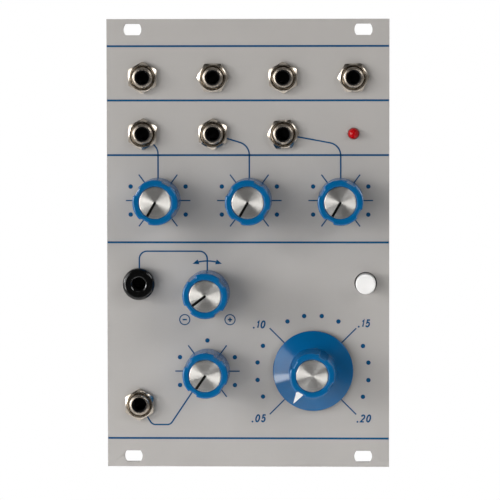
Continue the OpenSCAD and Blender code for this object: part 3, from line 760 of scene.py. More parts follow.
# Each bushing is turned on from the one before, so that their threads start in different places
JACK_TURN = 37
BORE_R = 1.8
MOUTH_R = 2.15
MOUTH_EDGE = 0.1
LIP_H = 0.65
LIP_FLAT = 0.08
# A black sleeve in the bore of each bushing, up to just below its lip, is painted shade that keeps the mouth dark.
SHADE_LINER_TIP = 0.45
SHADE_LINER_RIM = 0.08
SHADE_LINER_LEAD_IN = 1.6
SHADE_LINER_LAP = 0.2
THREAD_PITCH = 0.5
THREAD_DEPTH = 0.16
THREAD_RINGS = 14
THREAD_FROM = FACE + 0.8
THREAD_TO = JACK_TIP - LIP_H - 0.05
ON_WALL = 0.01


def threaded(radius, height, angle):
    """Cut a thread into the outer wall of a bushing."""
    if radius < JACK_R - ON_WALL or not THREAD_FROM < height < THREAD_TO:
        return radius, height
    phase = (height / THREAD_PITCH - angle / (2 * math.pi)) % 1
    return radius - THREAD_DEPTH * abs(2 * phase - 1), height


def jack_bushings():
    thread = [THREAD_FROM + (THREAD_TO - THREAD_FROM) * k / THREAD_RINGS for k in range(THREAD_RINGS + 1)]
    corners = [
        (MOUTH_R, -JACK_TAIL),
        (JACK_TAIL_R, -JACK_TAIL),
        (JACK_TAIL_R, 0),
        (JACK_R, 0),
        *[(JACK_R, z) for z in thread],
        *arc((MOUTH_R + LIP_FLAT, JACK_TIP - LIP_H), (JACK_R - MOUTH_R - LIP_FLAT, LIP_H), 0, 90),
        (MOUTH_R, JACK_TIP - MOUTH_EDGE),
        (MOUTH_R, JACK_TIP - SHADE_LINER_TIP - SHADE_LINER_LAP),
    ]
    form = lathe(soften(corners), segments=96, shape=threaded, closed=True)
    # The black sleeve lining the metal bore is painted shade.
    top = JACK_TIP - SHADE_LINER_TIP
    shade_lining = [
        (BORE_R, -JACK_TAIL),
        (MOUTH_R, -JACK_TAIL),
        (MOUTH_R, top),
        (MOUTH_R - SHADE_LINER_RIM, top),
        (BORE_R, top - SHADE_LINER_LEAD_IN),
    ]
    shade_liner = lathe(shade_lining, segments=64, closed=True)
    for k, (name, at) in enumerate(JACKS.items()):
        black = name == "control_in"
        finish, slot = (BLACK_MATT, "black_gloss") if black else (SATIN_NICKEL, "nickel")
        obj = piece(f"bushing_{name}", form, finish, ROOT, slot, place(at, JACK_TURN * k))
        if k == 0:
            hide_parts("jack_bushings")
        piece(f"liner_{name}", shade_liner, BLACK_MATT, ROOT, "black_housing", place(at))


NUT_AF = 8.0
NUT_BORE_R = JACK_R + 0.05
NUT_SIDE_R = NUT_AF / 2 + 0.2
NUT_CORNER_R = NUT_AF / math.sqrt(3) - 0.06
NUT_TOP = heights("jack_nuts")[1]
NUT_FLAT_R = 3.72
NUT_SINK_R = 3.5
NUT_SINK = 0.6
NUT_FOOT = 0.1
NUT_SHOULDER = 0.2
NUT_CHAMFER = math.tan(math.radians(30))
NUT_SHARP_DEG = 14
NUT_TURNS = {
    "out_1": 30, "out_2": 0, "out_3": 32, "out_4": 2, "in_a": 28, "in_b": 30, "in_c": 4, "modulation_in": 30,
}


def six_sided(radius, height, angle):
    """Bring the outer wall of a nut out to six flats, and turn off the corners of its top."""
    if radius < NUT_AF / 2:
        return radius, height
    side = (angle + math.pi / 6) % (math.pi / 3) - math.pi / 6
    reach = min(NUT_AF / 2 / math.cos(math.radians(30) - abs(side)), NUT_CORNER_R)
    if height > (FACE + NUT_TOP) / 2:
        return reach, NUT_TOP - (reach - NUT_FLAT_R) * NUT_CHAMFER
    return reach - (NUT_SIDE_R - radius), height


def hex_nuts():
    """Hex nuts with turned corners and a countersunk mouth."""
    profile = [
        (NUT_BORE_R, FACE),
        (NUT_SIDE_R - NUT_FOOT, FACE),
        (NUT_SIDE_R, FACE + NUT_FOOT),
        (NUT_SIDE_R, NUT_TOP - NUT_SHOULDER),
        (NUT_FLAT_R, NUT_TOP),
        (NUT_SINK_R, NUT_TOP),
        (NUT_BORE_R, NUT_TOP - NUT_SINK),
    ]
    form = lathe(profile, segments=120, shape=six_sided, closed=True)
    for k, (name, turn) in enumerate(NUT_TURNS.items()):
        where = place(JACKS[name], -turn)
        obj = piece(f"nut_{name}", form, NICKEL, ROOT, "nickel", where, sharp=NUT_SHARP_DEG)
        if k == 0:
            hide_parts("jack_nuts")


RING_ROUND = (0.95, 0.75)
RING_MOUTH_R = BORE_R + 0.22
RING_LIP = (0.28, 0.15)
RING_SEAT = JACK_TIP + 0.1


def ring_nut():
    low, top = heights("ring_nut")
    r = radius_of("ring_nut")
    corners = [
        (NUT_BORE_R, low),
        (r, low, 0.15),
        *arc((r - RING_ROUND[0], top - RING_ROUND[1]), RING_ROUND, 4, 90),
        (RING_MOUTH_R + RING_LIP[0], top, 0.08),
        (RING_MOUTH_R, top - RING_LIP[1], 0.05),
        (RING_MOUTH_R, RING_SEAT),
        (NUT_BORE_R, RING_SEAT),
    ]
    form = lathe(soften(corners), segments=128, closed=True)
    piece("ring_nut_black", form, BLACK_GLOSS, ROOT, "black_gloss", place(JACKS["control_in"]), ["ring_nut"])


# Dials

GRIP_R = 6.45
GRIP_RINGS = 8
GRIP_FOOT = 0.5
RIM_R = 0.5
DISC_R = radius_of("disc_a")
DISC_DEPTH = 1.15
SEAT_R = DISC_R + 0.06
SEAT_LIP = (0.28, 0.3)
SEAT_FLOOR = DISC_DEPTH + 0.05
FLUTE_W = 2.6
FLUTE_R = GRIP_R - 0.55
FLUTE_EDGE = 0.16
FLUTE_INNER_R = SEAT_R + 0.3
RECESS_R = 5.5
RECESS_TOP = FACE + 3.4
SKIRT_EDGE = 1.1
SKIRT_H = 2.7
TIME_GRIP_R = GRIP_R + 0.25
TIME_GRIP_IN = 0.02
TIME_GRIP_FOOT = SKIRT_H + 0.3
KNOB_SEGMENTS = 288
WALL_TILT = 0.5


def step_between(low, high, value):
    t = max(0.0, min(1.0, (value - low) / (high - low)))
    return t * t * (3 - 2 * t)


def fluted(foot, top):
    """Four flat flutes in a grip, from its foot up, leaning in towards its top, and its rim with them."""

    def cut(radius, height, angle):
        if radius < FLUTE_INNER_R or height < foot:
            return radius, height
        quarter = (angle + math.pi / 4) % (math.pi / 2) - math.pi / 4
        across = abs(math.sin(quarter)) * radius
        deep = (GRIP_R + (FLUTE_R - GRIP_R) * (height - foot) / (top - foot)) / math.cos(quarter)
        inward = max(0.0, radius - deep)
        if height > top - RIM_R:
            share = (radius - FLUTE_INNER_R) / (GRIP_R - RIM_R - FLUTE_INNER_R)
            inward = max(0.0, GRIP_R - deep) * min(1.0, share)
        side = 1 - step_between(FLUTE_W / 2 - FLUTE_EDGE, FLUTE_W / 2 + FLUTE_EDGE, across)
        return radius - inward * side, height

    return cut


def grip_wall(low_r, low, high):
    """Rings up the wall of a grip."""
    shares = [k / GRIP_RINGS for k in range(GRIP_RINGS + 1)]
    return [(low_r + (GRIP_R - low_r) * share, low + (high - low) * share) for share in shares]


def grip_top(top):
    """The round rim of a grip, and the seat of its disc."""
    return [
        *arc((GRIP_R - RIM_R, top - RIM_R), (RIM_R, RIM_R), 6, 90),
        (SEAT_R + SEAT_LIP[0], top, 0.12),
        (SEAT_R, top - SEAT_LIP[1], 0.1),
        (SEAT_R, top - SEAT_FLOOR),
        (0, top - SEAT_FLOOR),
    ]


def underside(foot, radius):
    return [(0, RECESS_TOP), (RECESS_R, RECESS_TOP), (RECESS_R, foot), (radius, foot, 0.25)]


def dull_walls(made, finish):
    """Give the upright faces of a knob a finish of their own. On the small knobs it is paler than the knob:
    painted sheen.
    """
    made.data.materials.append(finish)
    for face in made.data.polygons:
        if abs(face.normal.z) < WALL_TILT:
            face.material_index = 1


def knob(name, body, node):
    foot, top = heights(node)
    radius = radius_of(node)
    corners = underside(foot, radius)
    corners += grip_wall(radius, foot + GRIP_FOOT, top - RIM_R) + grip_top(top)
    form = lathe(soften(corners), KNOB_SEGMENTS, fluted(foot, top))
    at, turn = DIALS[body]
    # Its upright walls take the paler wall finish, which is painted sheen.
    dull_walls(piece(name, form, KNOB_BLUE, body, "knob_blue", place(at, turn), [node]), KNOB_WALL_PAINTED_SHEEN)


def skirted_knob():
    """The big knob, whose upright walls are duller than its top and its skirt."""
    foot, top = heights("time_knob")
    radius = radius_of("time_knob")
    corners = underside(foot, radius)
    corners += [(radius, foot + SKIRT_EDGE, 0.3), (TIME_GRIP_R, foot + SKIRT_H, 0.25)]
    grip_foot = foot + TIME_GRIP_FOOT
    corners += grip_wall(TIME_GRIP_R - TIME_GRIP_IN, grip_foot, top - RIM_R)
    form = lathe(soften(corners + grip_top(top)), KNOB_SEGMENTS, fluted(grip_foot, top))
    at, turn = DIALS["time_dial"]
    made = piece("time_knob_blue", form, KNOB_BLUE, "time_dial", "knob_blue", place(at, turn), ["time_knob"])
    dull_walls(made, KNOB_SIDE)


LINE_W = 0.75
LINE_BACK = -0.2
LINE_END = DISC_R - 0.05
LINE_SINK = 0.1
LINE_RISE = 0.02


def disc(name, body, node, lined):
    """Turned metal disc, and the painted line that shows where the dial stands."""
    low, top = heights(node)
    at, turn = DIALS[body]
    corners = [(0, low), (DISC_R, low), (DISC_R, top, 0.14), (DISC_R - 0.3, top), (0.35, top), (0, top)]
    form = lathe(soften(corners), segments=160)
    piece(name, form, SPUN, body, "turned_metal", place(at, turn), [node])
    if lined:
        half = LINE_W / 2
        outline = [(-half, LINE_BACK), (half, LINE_BACK), (half, LINE_END), (-half, LINE_END)]
        line = prism(outline, top - LINE_SINK, top + LINE_RISE)
        piece(name + "_line", line, LINE_PAINT, body, "black_gloss", place(at, turn))


POINTER_IN = 0.5
POINTER_OUT = 0.7
POINTER_W = 2.3
POINTER_TIP = 0.08
POINTER_SINK = 0.05
POINTER_T = 0.24
POINTER_TAPER = 0.94
SKIRT_ROUND = 0.3


def time_pointer():
    """White pointer lying on the slope of the skirt."""
    foot = heights("time_knob")[0]
    radius = radius_of("time_knob")
    at, turn = DIALS["time_dial"]
    inner, outer = TIME_GRIP_R + POINTER_IN, radius - POINTER_OUT
    rim = radius - SKIRT_ROUND

    def slope(x, y):
        share = (rim - math.hypot(x, y)) / (rim - TIME_GRIP_R)
        return foot + SKIRT_EDGE + (SKIRT_H - SKIRT_EDGE) * share

    half = POINTER_W / 2
    outline = [(-half, inner), (half, inner), (POINTER_TIP, outer), (-POINTER_TIP, outer)]
    low = [(x, y, slope(x, y) - POINTER_SINK) for x, y in outline]
    top = [(x * POINTER_TAPER, y, slope(x, y) + POINTER_T) for x, y in outline]
    form = loft([low, top])
    where = place(at, turn)
    piece("time_pointer_white", form, WHITE_PLASTIC, "time_dial", "white_plastic", where, ["time_pointer"])


def dials():
    for letter in "abc":
        knob(f"knob_{letter}_blue", f"dial_{letter}", f"knob_{letter}")
        disc(f"disc_{letter}_spun", f"dial_{letter}", f"disc_{letter}", True)
    for kind in ("control", "modulation"):
        knob(f"{kind}_knob_blue", f"{kind}_dial", f"{kind}_knob")
        disc(f"{kind}_disc_spun", f"{kind}_dial", f"{kind}_disc", True)
    skirted_knob()
    disc("time_disc_spun", "time_dial", "time_disc", False)
    time_pointer()


# Lamp and button

LAMP_R = 1.55
LAMP_RIM_T = 1.0
LAMP_SHARP_DEG = 50
SOCKET_R = 2.201
PLUNGER_TOP = FACE + 1.55


def lamp():
    low, top = heights("lamp_lens")
    rim = radius_of("lamp_lens")
    shelf = low + LAMP_RIM_T
    corners = [(0, low), (rim, low, 0.1), (rim, shelf, 0.1), (LAMP_R, shelf)]
    corners += arc((0, top - LAMP_R), (LAMP_R, LAMP_R), 0, 90, count=12)[:-1] + [(0, top)]
    form = lathe(soften(corners), segments=64)
    piece("lamp_dome", form, LAMP_RED, ROOT, "lamp_red", place(LAMP), ["lamp_lens"], sharp=LAMP_SHARP_DEG)


def button():
    """White cap, slightly hollow on top, with a socket for the plunger."""
    low, top = heights("button_cap")
    r = radius_of("button_cap")
    corners = [
        (0, PLUNGER_TOP),
        (SOCKET_R, PLUNGER_TOP),
        (SOCKET_R, low),
        (r, low, 0.1),
        (r, top, 0.42),
        (r * 0.75, top, 0.5),
        (r * 0.4, top - 0.06),
        (0, top - 0.08),
    ]
    form = lathe(soften(corners, steps=7), segments=96)
    piece("button_white", form, WHITE_PLASTIC, "button", "white_plastic", place(BUTTON), ["button_cap"])


SPRING_WIRE_R = 0.14
SPRING_TURNS = 4
SPRING_STEPS = 28
SPRING_SIDES = 10
SPRING_CLOSE_ENDS = 0.09
SPRING_SHARP_DEG = 60


def spring():
    """The button's return spring, drawn at rest. It closes up against its switch as the button goes in, but here
    it keeps its shape.
    """
    low, high = heights("switch_spring")
    reach = radius_of("switch_spring") - SPRING_WIRE_R
    rise = high - low - 2 * SPRING_WIRE_R
    count = SPRING_TURNS * SPRING_STEPS
    rings = []
    for i in range(count + 1):
        along = i / count
        angle = 2 * math.pi * i / SPRING_STEPS
        share = along - SPRING_CLOSE_ENDS * math.sin(2 * math.pi * along)
        z = low + SPRING_WIRE_R + rise * share
        section = oval((reach, z), (SPRING_WIRE_R, SPRING_WIRE_R), SPRING_SIDES)
        rings.append([(r * math.cos(angle), r * math.sin(angle), up) for r, up in section])
    form = loft(rings)
    where = place(BUTTON)
    replaced = ["switch_spring"]
    wire = piece("spring_wire", form, STEEL, ROOT, "spring_steel", where, replaced, sharp=SPRING_SHARP_DEG)
    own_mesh(wire)


# Boards and what is soldered to them

BOARD_BACK = heights("control_board")[0]
MAIN_BACK, MAIN_FRONT = heights("main_board")
PIN_PITCH = 2.54
PIN_END = 0.05
SOLDER_SIDES = 18
# Rings of a solder cone: share of the pin's size, what is added to it, and the height
SOLDER = [(0.3, 0, -0.02), (1, 0.6, -0.02), (1, 0.3, 0.1), (1, 0.13, 0.35), (1, 0.07, 0.7), (0.3, 0, 0.82)]


def islands(node):
    """Corners of each separate solid of a CAD node, drawn flat."""
    obj = NODES[node]
    work = bmesh.new()
    work.from_mesh(obj.data)
    work.transform(obj.matrix_world)
    bmesh.ops.remove_doubles(work, verts=work.verts, dist=10 * SAME_SPOT_M)
    work.verts.index_update()
    found, seen = [], set()
    for start in work.verts:
        if start.index in seen:
            continue
        seen.add(start.index)
        joined = [start]
        for vert in joined:
            for edge in vert.link_edges:
                other = edge.other_vert(vert)
                if other.index not in seen:
                    seen.add(other.index)
                    joined.append(other)
        found.append([(v.co.x / MM, v.co.z / MM, -v.co.y / MM) for v in joined])
    work.free()
    return found


def extent(corners):
    """Middle and size of some corners."""
    lows = [min(c[k] for c in corners) for k in range(3)]
    highs = [max(c[k] for c in corners) for k in range(3)]
    return [(a + b) / 2 for a, b in zip(lows, highs)], [b - a for a, b in zip(lows, highs)]


def pin_ends(node):
    """Middle and half the size of the back end of each pin of a CAD node."""
    ends = []
    for corners in islands(node):
        low = min(z for x, y, z in corners)
        at, size = extent([c for c in corners if c[2] < low + PIN_END])
        ends.append(((at[0], at[1]), (size[0] / 2, size[1] / 2)))
    return ends


def turned_over(form, at):
    """A form drawn upwards from z = 0, set on the back of the second board."""
    return Shape().add(Shape([(-x, y, -z) for x, y, z in form.verts], form.faces), (*at, MAIN_BACK))


def solder(ends, level, facing):
    """Cones of solder around pins, on the face of a board that looks forwards (1) or backwards (-1)."""
    form = Shape()
    for at, half in ends:
        rings = []
        for share, extra, z in SOLDER:
            reach = (half[0] * share + extra, half[1] * share + extra)
            rings.append(lift(oval((0, 0), reach, SOLDER_SIDES), facing * z))
        form.add(loft(rings, closed=True), (*at, level))
    return form


CHIP_ROWS = 8
CHIP_LIFT = 0.6
CHIP_CAP = 0.7
CHIP_CAP_IN = 0.28
CHIP_EDGE = 0.1
CHIP_WAIST = 0.45
NOTCH_R = 0.9
DIMPLE_R = 0.45
DIMPLE_AT = (1.1, 1.2)
LEG_REACH = 0.4
LEG_T = 0.28
LEG_W = 1.3
LEG_ROOT = 0.4
LEG_BEND = 0.35
LEG_STEP = 1.0
LEG_TIP_W = 0.55
LEG_LAP = 0.05
LEG_SINK = 0.02


def chip_body(w, l, t):
    """Body with a notch at one end and a dimple by its first leg."""
    top = CHIP_LIFT + t
    x, y = w / 2 - CHIP_CAP_IN, l / 2 - CHIP_CAP_IN
    notch = arc((0, y), (NOTCH_R, NOTCH_R), 360, 180)
    outline = [(-x, -y), (x, -y), (x, y), *notch, (-x, y)]
    dimple = circle(DIMPLE_R, (DIMPLE_AT[0] - x, y - DIMPLE_AT[1]), count=24)
    form = sheet(outline, [dimple], top - CHIP_CAP, top, CHIP_EDGE)
    levels = [(0.4, CHIP_LIFT), (0, CHIP_LIFT + CHIP_WAIST * t), (0.25, top - CHIP_CAP + 0.05)]
    return form.add(stack(w, l, levels))


def leg_spots(at, w):
    """Where the legs of a chip stand on the board."""
    out = w / 2 + LEG_REACH - LEG_T / 2
    rows = [at[1] + (i - (CHIP_ROWS - 1) / 2) * PIN_PITCH for i in range(CHIP_ROWS)]
    return [(at[0] + side * out, y) for side in (-1, 1) for y in rows]


def chip_legs(w, t):
    """Two rows of legs that bend down and end in narrow tips."""
    shoulder = CHIP_LIFT + CHIP_WAIST * t
    form = Shape()
    for x, y in leg_spots((0, 0), w):
        side = 1 if x > 0 else -1
        out = abs(x)
        upper = bend([(w / 2 - LEG_ROOT, shoulder), (out, shoulder), (out, LEG_STEP)], LEG_BEND, steps=4)
        lower = [(out, LEG_STEP + LEG_LAP), (out, -LEG_SINK)]
        for path, wide in ((upper, LEG_W), (lower, LEG_TIP_W)):
            flat = band(path, LEG_T, y - wide / 2, y + wide / 2)
            form.add(Shape([(side * across, along, up) for across, up, along in flat.verts], flat.faces))
    return form


def chips():
    """Chips in two rows of legs. Gives the spot and the size of each."""
    spots = []
    body = legs = None
    for k, corners in enumerate(islands("chips")):
        at, (wide, l, tall) = extent(corners)
        w, t = wide - 2 * LEG_REACH, tall - CHIP_LIFT
        body = body or chip_body(w, l, t)
        legs = legs or chip_legs(w, t)
        made = piece(f"chip_{k}", turned_over(body, at[:2]), CHIP_BLACK, ROOT, "chip_black")
        if k == 0:
            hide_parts("chips")
        piece(f"chip_{k}_legs", turned_over(legs, at[:2]), TIN, ROOT, "contact_metal")
        spots.append((at[:2], (w, l)))
    return spots


CAN_STRIPE_HALF = 24
CAN_STRIPE_T = 0.06
CAN_STRIPE_LOW = 2.0
CAN_STRIPE_TOP = 0.5
LID_INSET = 0.78
LID_GAP = 0.1
LID_LOW = 0.25
LID_TOP = 0.1


def can_sleeve(r, tall):
    corners = [
        (0, 0),
        (r, 0, 0.1),
        (r, 0.9, 0.15),
        (r - 0.25, 1.25, 0.2),
        (r, 1.6, 0.15),
        (r, tall, 0.4),
        (r - 0.6, tall, 0.1),
        (r - 0.7, tall - 0.2),
        (0, tall - 0.2),
    ]
    return lathe(soften(corners), segments=64)


def can_lid(r, tall):
    """Four quarters with the score lines between them."""
    reach = r - LID_INSET
    start = math.degrees(math.asin(LID_GAP / reach))
    inner = LID_GAP * math.sqrt(2)
    lid = Shape()
    for turn in range(0, 360, 90):
        angle = math.radians(turn + 45)
        outline = [(inner * math.cos(angle), inner * math.sin(angle))]
        outline += arc((0, 0), (reach, reach), turn + start, turn + 90 - start, count=8)
        lid.add(prism(outline, tall - LID_LOW, tall - LID_TOP))
    return lid


def capacitors():
    """Round cans with a grooved sleeve, a pale stripe and a scored top. Gives each spot and radius."""
    spots = []
    for k, corners in enumerate(islands("capacitors")):
        at, (wide, _, tall) = extent(corners)
        r = wide / 2
        side = arc((0, 0), (r, r), 90 * k - CAN_STRIPE_HALF, 90 * k + CAN_STRIPE_HALF)
        stripe = band(side, CAN_STRIPE_T, CAN_STRIPE_LOW, tall - CAN_STRIPE_TOP)
        sleeve = turned_over(can_sleeve(r, tall), at[:2])
        made = piece(f"can_{k}", sleeve, CAN_SLEEVE, ROOT, "capacitor_can")
        if k == 0:
            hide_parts("capacitors")
        piece(f"can_{k}_stripe", turned_over(stripe, at[:2]), SILK, ROOT, "capacitor_can")
        piece(f"can_{k}_lid", turned_over(can_lid(r, tall), at[:2]), CAN_TOP, ROOT, "capacitor_can")
        spots.append((at[:2], r))
    return spots


VIA = [(0.16, -0.01), (0.45, -0.01), (0.45, 0.05), (0.16, 0.05)]
VIA_DROP = 0.9
PAD = [(0.2, -0.01), (0.85, -0.01), (0.85, 0.04), (0.2, 0.04)]
FILM = 0.03
FILM_SINK = 0.01
TRACK_W = 0.34
TRACK_OUT = 1.35
TRACK_PITCH = 0.62
TRACK_BEND = 0.5
FEED_W = 1.5
FEED_BEND = 1.5
FEED_START = 1
FEED_OUT = 2
SILK_W = 0.2
SILK_T = FILM + 0.02
SILK_GAP = 1.2
SILK_LEGS_GAP = 2.9
SILK_CAN_GAP = 0.55


def rings(profile, spots):
    """Flat metal rings on the back of the second board."""
    ring = lathe(profile, segments=20, closed=True)
    form = Shape()
    for at in spots:
        form.add(turned_over(ring, at))
    return form


def films(paths, wide, high, closed=False):
    """Thin bands on the back of the second board."""
    form = Shape()
    for path in paths:
        form.add(band(path, wide, MAIN_BACK - high, MAIN_BACK + FILM_SINK, closed))
    return form


def main_board_lines(chip_spots, can_spots):
    """Tracks from the legs to vias, wide feeds from the power connector, and white outlines."""
    power_w, power_h = size_of("power_shroud")
    tracks, vias, outlines = [], [], []
    for at, (w, l) in chip_spots:
        for k, (x, y) in enumerate(leg_spots(at, w)):
            side = 1 if x > at[0] else -1
            out = x + side * (TRACK_OUT + k % CHIP_ROWS * TRACK_PITCH)
            end = at[1] - l / 2 - VIA_DROP - VIA_DROP * (k % 2)
            tracks.append(bend([(x, y), (out, y), (out, end)], TRACK_BEND, steps=3))
            vias.append((out, end))
        outlines.append(rectangle(at, w + SILK_LEGS_GAP, l + SILK_GAP))
    outlines.append(rectangle(middle("power_shroud"), power_w + SILK_GAP, power_h + SILK_GAP))
    outlines += [circle(r + SILK_CAN_GAP, at, count=48) for at, r in can_spots]
    start = power_w / 2 - FEED_START
    out = max(at[0] for at, r in can_spots) + FEED_OUT
    y = can_spots[0][0][1]
    top = max(at[1] for at, size in chip_spots)
    feeds = [bend([(s * start, y), (s * out, y), (s * out, top)], FEED_BEND, steps=4) for s in (-1, 1)]
    piece("main_tracks", films(tracks, TRACK_W, FILM), TRACK, ROOT, "board_green")
    piece("main_feeds", films(feeds, FEED_W, FILM), TRACK, ROOT, "board_green")
    piece("main_vias", rings(VIA, vias), TIN, ROOT, "contact_metal")
    piece("main_outlines", films(outlines, SILK_W, SILK_T, True), SILK, ROOT, "board_green")


SMALL_L = 1.7
SMALL_W = 0.9
SMALL_END = 0.36
SMALL_T = {"ceramic": 0.625, "resist": 0.4}
SMALL_LAP = 0.04


def coin(chance):
    return chance.random() < 0.5


def small_parts(name, spots, level, chance):
    """Tiny resistors and capacitors, soldered flat on a board. Each spot is (x, y, upright)."""
    kinds = {"ceramic": Shape(), "resist": Shape()}
    ends = Shape()
    for x, y, upright in spots:
        kind = "ceramic" if coin(chance) else "resist"
        high = SMALL_T[kind]
        core = [(0, -0.01), (0, high - 0.08), (0.05, high - 0.02)]
        core = stack(SMALL_L - 2 * SMALL_END + SMALL_LAP, SMALL_W - SMALL_LAP, core)
        end = stack(SMALL_END, SMALL_W, [(0, -0.01), (0, high - 0.06), (0.06, high)])
        out = (SMALL_L - SMALL_END) / 2
        for target, form, shift in ((kinds[kind], core, 0), (ends, end, -out), (ends, end, out)):
            verts = [(a + shift, b, c) for a, b, c in form.verts]
            verts = [(-b, a, -c) if upright else (-a, b, -c) for a, b, c in verts]
            target.add(Shape(verts, form.faces), (x, y, level))
    piece(name + "_ceramic", kinds["ceramic"], CERAMIC, ROOT, "capacitor_can")
    piece(name + "_resist", kinds["resist"], RESIST, ROOT, "chip_black")
    piece(name + "_ends", ends, TIN, ROOT, "contact_metal")


def clear_of(point, taken):
    return all(math.hypot(point[0] - at[0], point[1] - at[1]) > reach for at, reach in taken)


SEED = 11
END_PART_X = 1.7
END_PART_Y = 1.75
SIDE_PART_X = -10.5
SIDE_PARTS_Y = range(-8, 9, 4)
SIDE_PARTS_FROM = -1
GRID_X = range(-33, 34, 6)
GRID_Y = range(-54, 55, 6)
GRID_SHARE = 0.6
PIN_NODES = ("jack_contacts", "pot_pins", "switch_pins", "lamp_leads")
PIN_CLEAR = 2.6
NODE_CLEAR = {"board_pillars": 4.5, "header_sockets": 9.0}


def boards():
    """What is soldered to the two boards."""
    chance = random.Random(SEED)
    chip_spots, can_spots = chips(), capacitors()
    legs = [leg for at, (w, l) in chip_spots for leg in leg_spots(at, w)]
    piece("main_pads", rings(PAD, legs), TIN, ROOT, "contact_metal")
    main_board_lines(chip_spots, can_spots)
    through = [(at, (LEG_TIP_W / 2, LEG_TIP_W / 2)) for at in legs] + pin_ends("power_pins")
    piece("main_solder", solder(through, MAIN_FRONT, 1), TIN, ROOT, "contact_metal")
    spots = []
    for at, (w, l) in chip_spots:
        for x in (-END_PART_X, END_PART_X):
            spots.append((at[0] + x, at[1] + l / 2 + END_PART_Y, False))
        for y in SIDE_PARTS_Y:
            if coin(chance) and at[0] > SIDE_PARTS_FROM:
                spots.append((at[0] + SIDE_PART_X, at[1] + y, True))
    small_parts("main_small", spots, MAIN_BACK, chance)

    ends = [end for node in PIN_NODES for end in pin_ends(node)]
    piece("control_solder", solder(ends, BOARD_BACK, -1), TIN, ROOT, "contact_metal")
    taken = [(at, PIN_CLEAR) for at, half in ends]
    for node, reach in NODE_CLEAR.items():
        taken += [(extent(corners)[0][:2], reach) for corners in islands(node)]
    spots = []
    for at in [(x, y) for x in GRID_X for y in GRID_Y]:
        if chance.random() < GRID_SHARE and clear_of(at, taken):
            spots.append((*at, coin(chance)))
    small_parts("control_small", spots, BOARD_BACK, chance)


# What stays as imported, with a finish of its own

FINISHES = {
    "black_housing": BLACK_MATT,
    "connector_black": BLACK_MATT,
    "pot_housing": POT_BODY,
    "nickel": NICKEL,
    "contact_metal": TIN,
    "shaft_metal": STEEL,
    "spring_steel": STEEL,
    "board_green": BOARD_MASK,
    "pillar_brass": BRASS,
}
OWN_FINISHES = {"power_pins": GOLD}
BROKEN_EDGES = {BLACK_MATT: 0.18, POT_BODY: 0.18, STEEL: 0.14, BRASS: 0.15}
WELD_MM = 0.001
BREAK_DEG = 50


def finish_nodes():
    """Give each node that shows its finish, and break the sharp edges of housings, screws and pillars."""
    for subpart in frame["record"]["subparts"]:
        name = subpart["node"]
        obj = NODES[name]
        if obj.hide_render:
            continue
        finish = OWN_FINISHES.get(name) or FINISHES[subpart["material_slot"]]
        obj.data.materials.clear()
        obj.data.materials.append(finish)
        if finish in BROKEN_EDGES:
            weld = obj.modifiers.new("joined", "WELD")
            weld.merge_threshold = WELD_MM * MM
            bevel = obj.modifiers.new("broken_edges", "BEVEL")
            bevel.width = BROKEN_EDGES[finish] * MM
            bevel.segments = 2
            bevel.limit_method = "ANGLE"
            bevel.angle_limit = math.radians(BREAK_DEG)
            bevel.harden_normals = True


# Stage, light and camera, in metres

FLOOR_Z = -0.125
FLOOR_R = 0.34
FLOOR_FADE = 0.6
FLOOR_LAMP_R = 0.05
ROOM_DARK = 0.03
# How the room pales in a direction: where that starts, where it ends, and by how much
ROOM_BELOW = (0.0, -0.9, 0.8)
ROOM_SIDES = (0.3, 0.95, 0.2)
ROOM_BEHIND = (0.0, 0.9, 0.2)
BACKDROP_EDGE = (-0.1, 0.1)
CAMERA_AT = (0.0326, -0.9681, 0.0552)
CAMERA_AZIMUTH = 1.899
CAMERA_ELEVATION = 3.377
CAMERA_ROLL = -0.074
FOCAL_PX = 3379
IMAGE_PX = 500
SENSOR_MM = 36
CLIP_START = 0.01


def floor():
    """A pale round floor below the module, which fades out at its edge."""
    mesh = bpy.data.meshes.new("floor")
    ring = [(x, y, FLOOR_Z) for x, y in circle(FLOOR_R, count=96)]
    mesh.from_pydata(ring, [], [tuple(range(len(ring)))])
    made = new_material("floor_paper", (0.92, 0.92, 0.92), 0.9, specular=0.1)
    fade = remap(made, from_axis(made), (FLOOR_R, FLOOR_R * FLOOR_FADE), kind="SMOOTHSTEP")
    join(made, fade, shader_of(made).inputs["Alpha"])
    mesh.materials.append(made)
    obj = bpy.data.objects.new("floor", mesh)
    bpy.context.scene.collection.objects.link(obj)


def sky():
    """A white backdrop, also in mirrors. The rest is a dark room, paler below, at the sides and behind."""
    world = bpy.data.worlds.new("studio")
    world.use_nodes = True
    toward_x, toward_y, toward_z = axes(world, "Generated")
    aside = calc(world, "ABSOLUTE", toward_x)
    level = ROOM_DARK
    for source, (start, end, gain) in (
        (toward_z, ROOM_BELOW),
        (aside, ROOM_SIDES),
        (toward_y, ROOM_BEHIND),
    ):
        share = remap(world, source, (start, end), high=gain, kind="SMOOTHSTEP")
        level = calc(world, "ADD", share, level)
    rays = add(world, "ShaderNodeLightPath").outputs
    mirrored = calc(world, "MAXIMUM", rays["Is Glossy Ray"], rays["Is Transmission Ray"])
    backdrop = remap(world, toward_y, BACKDROP_EDGE, kind="SMOOTHSTEP")
    in_mirror = calc(world, "MULTIPLY", mirrored, backdrop)
    in_view = calc(world, "MAXIMUM", rays["Is Camera Ray"], in_mirror)
    seen = add(world, "ShaderNodeMix", data_type="FLOAT")
    join(world, in_view, seen.inputs["Factor"])
    join(world, level, seen.inputs["A"])
    seen.inputs["B"].default_value = 1.0
    background = world.node_tree.nodes["Background"]
    join(world, seen.outputs["Result"], background.inputs["Strength"])
    background.inputs["Color"].default_value = (1, 1, 1, 1)
    bpy.context.scene.world = world


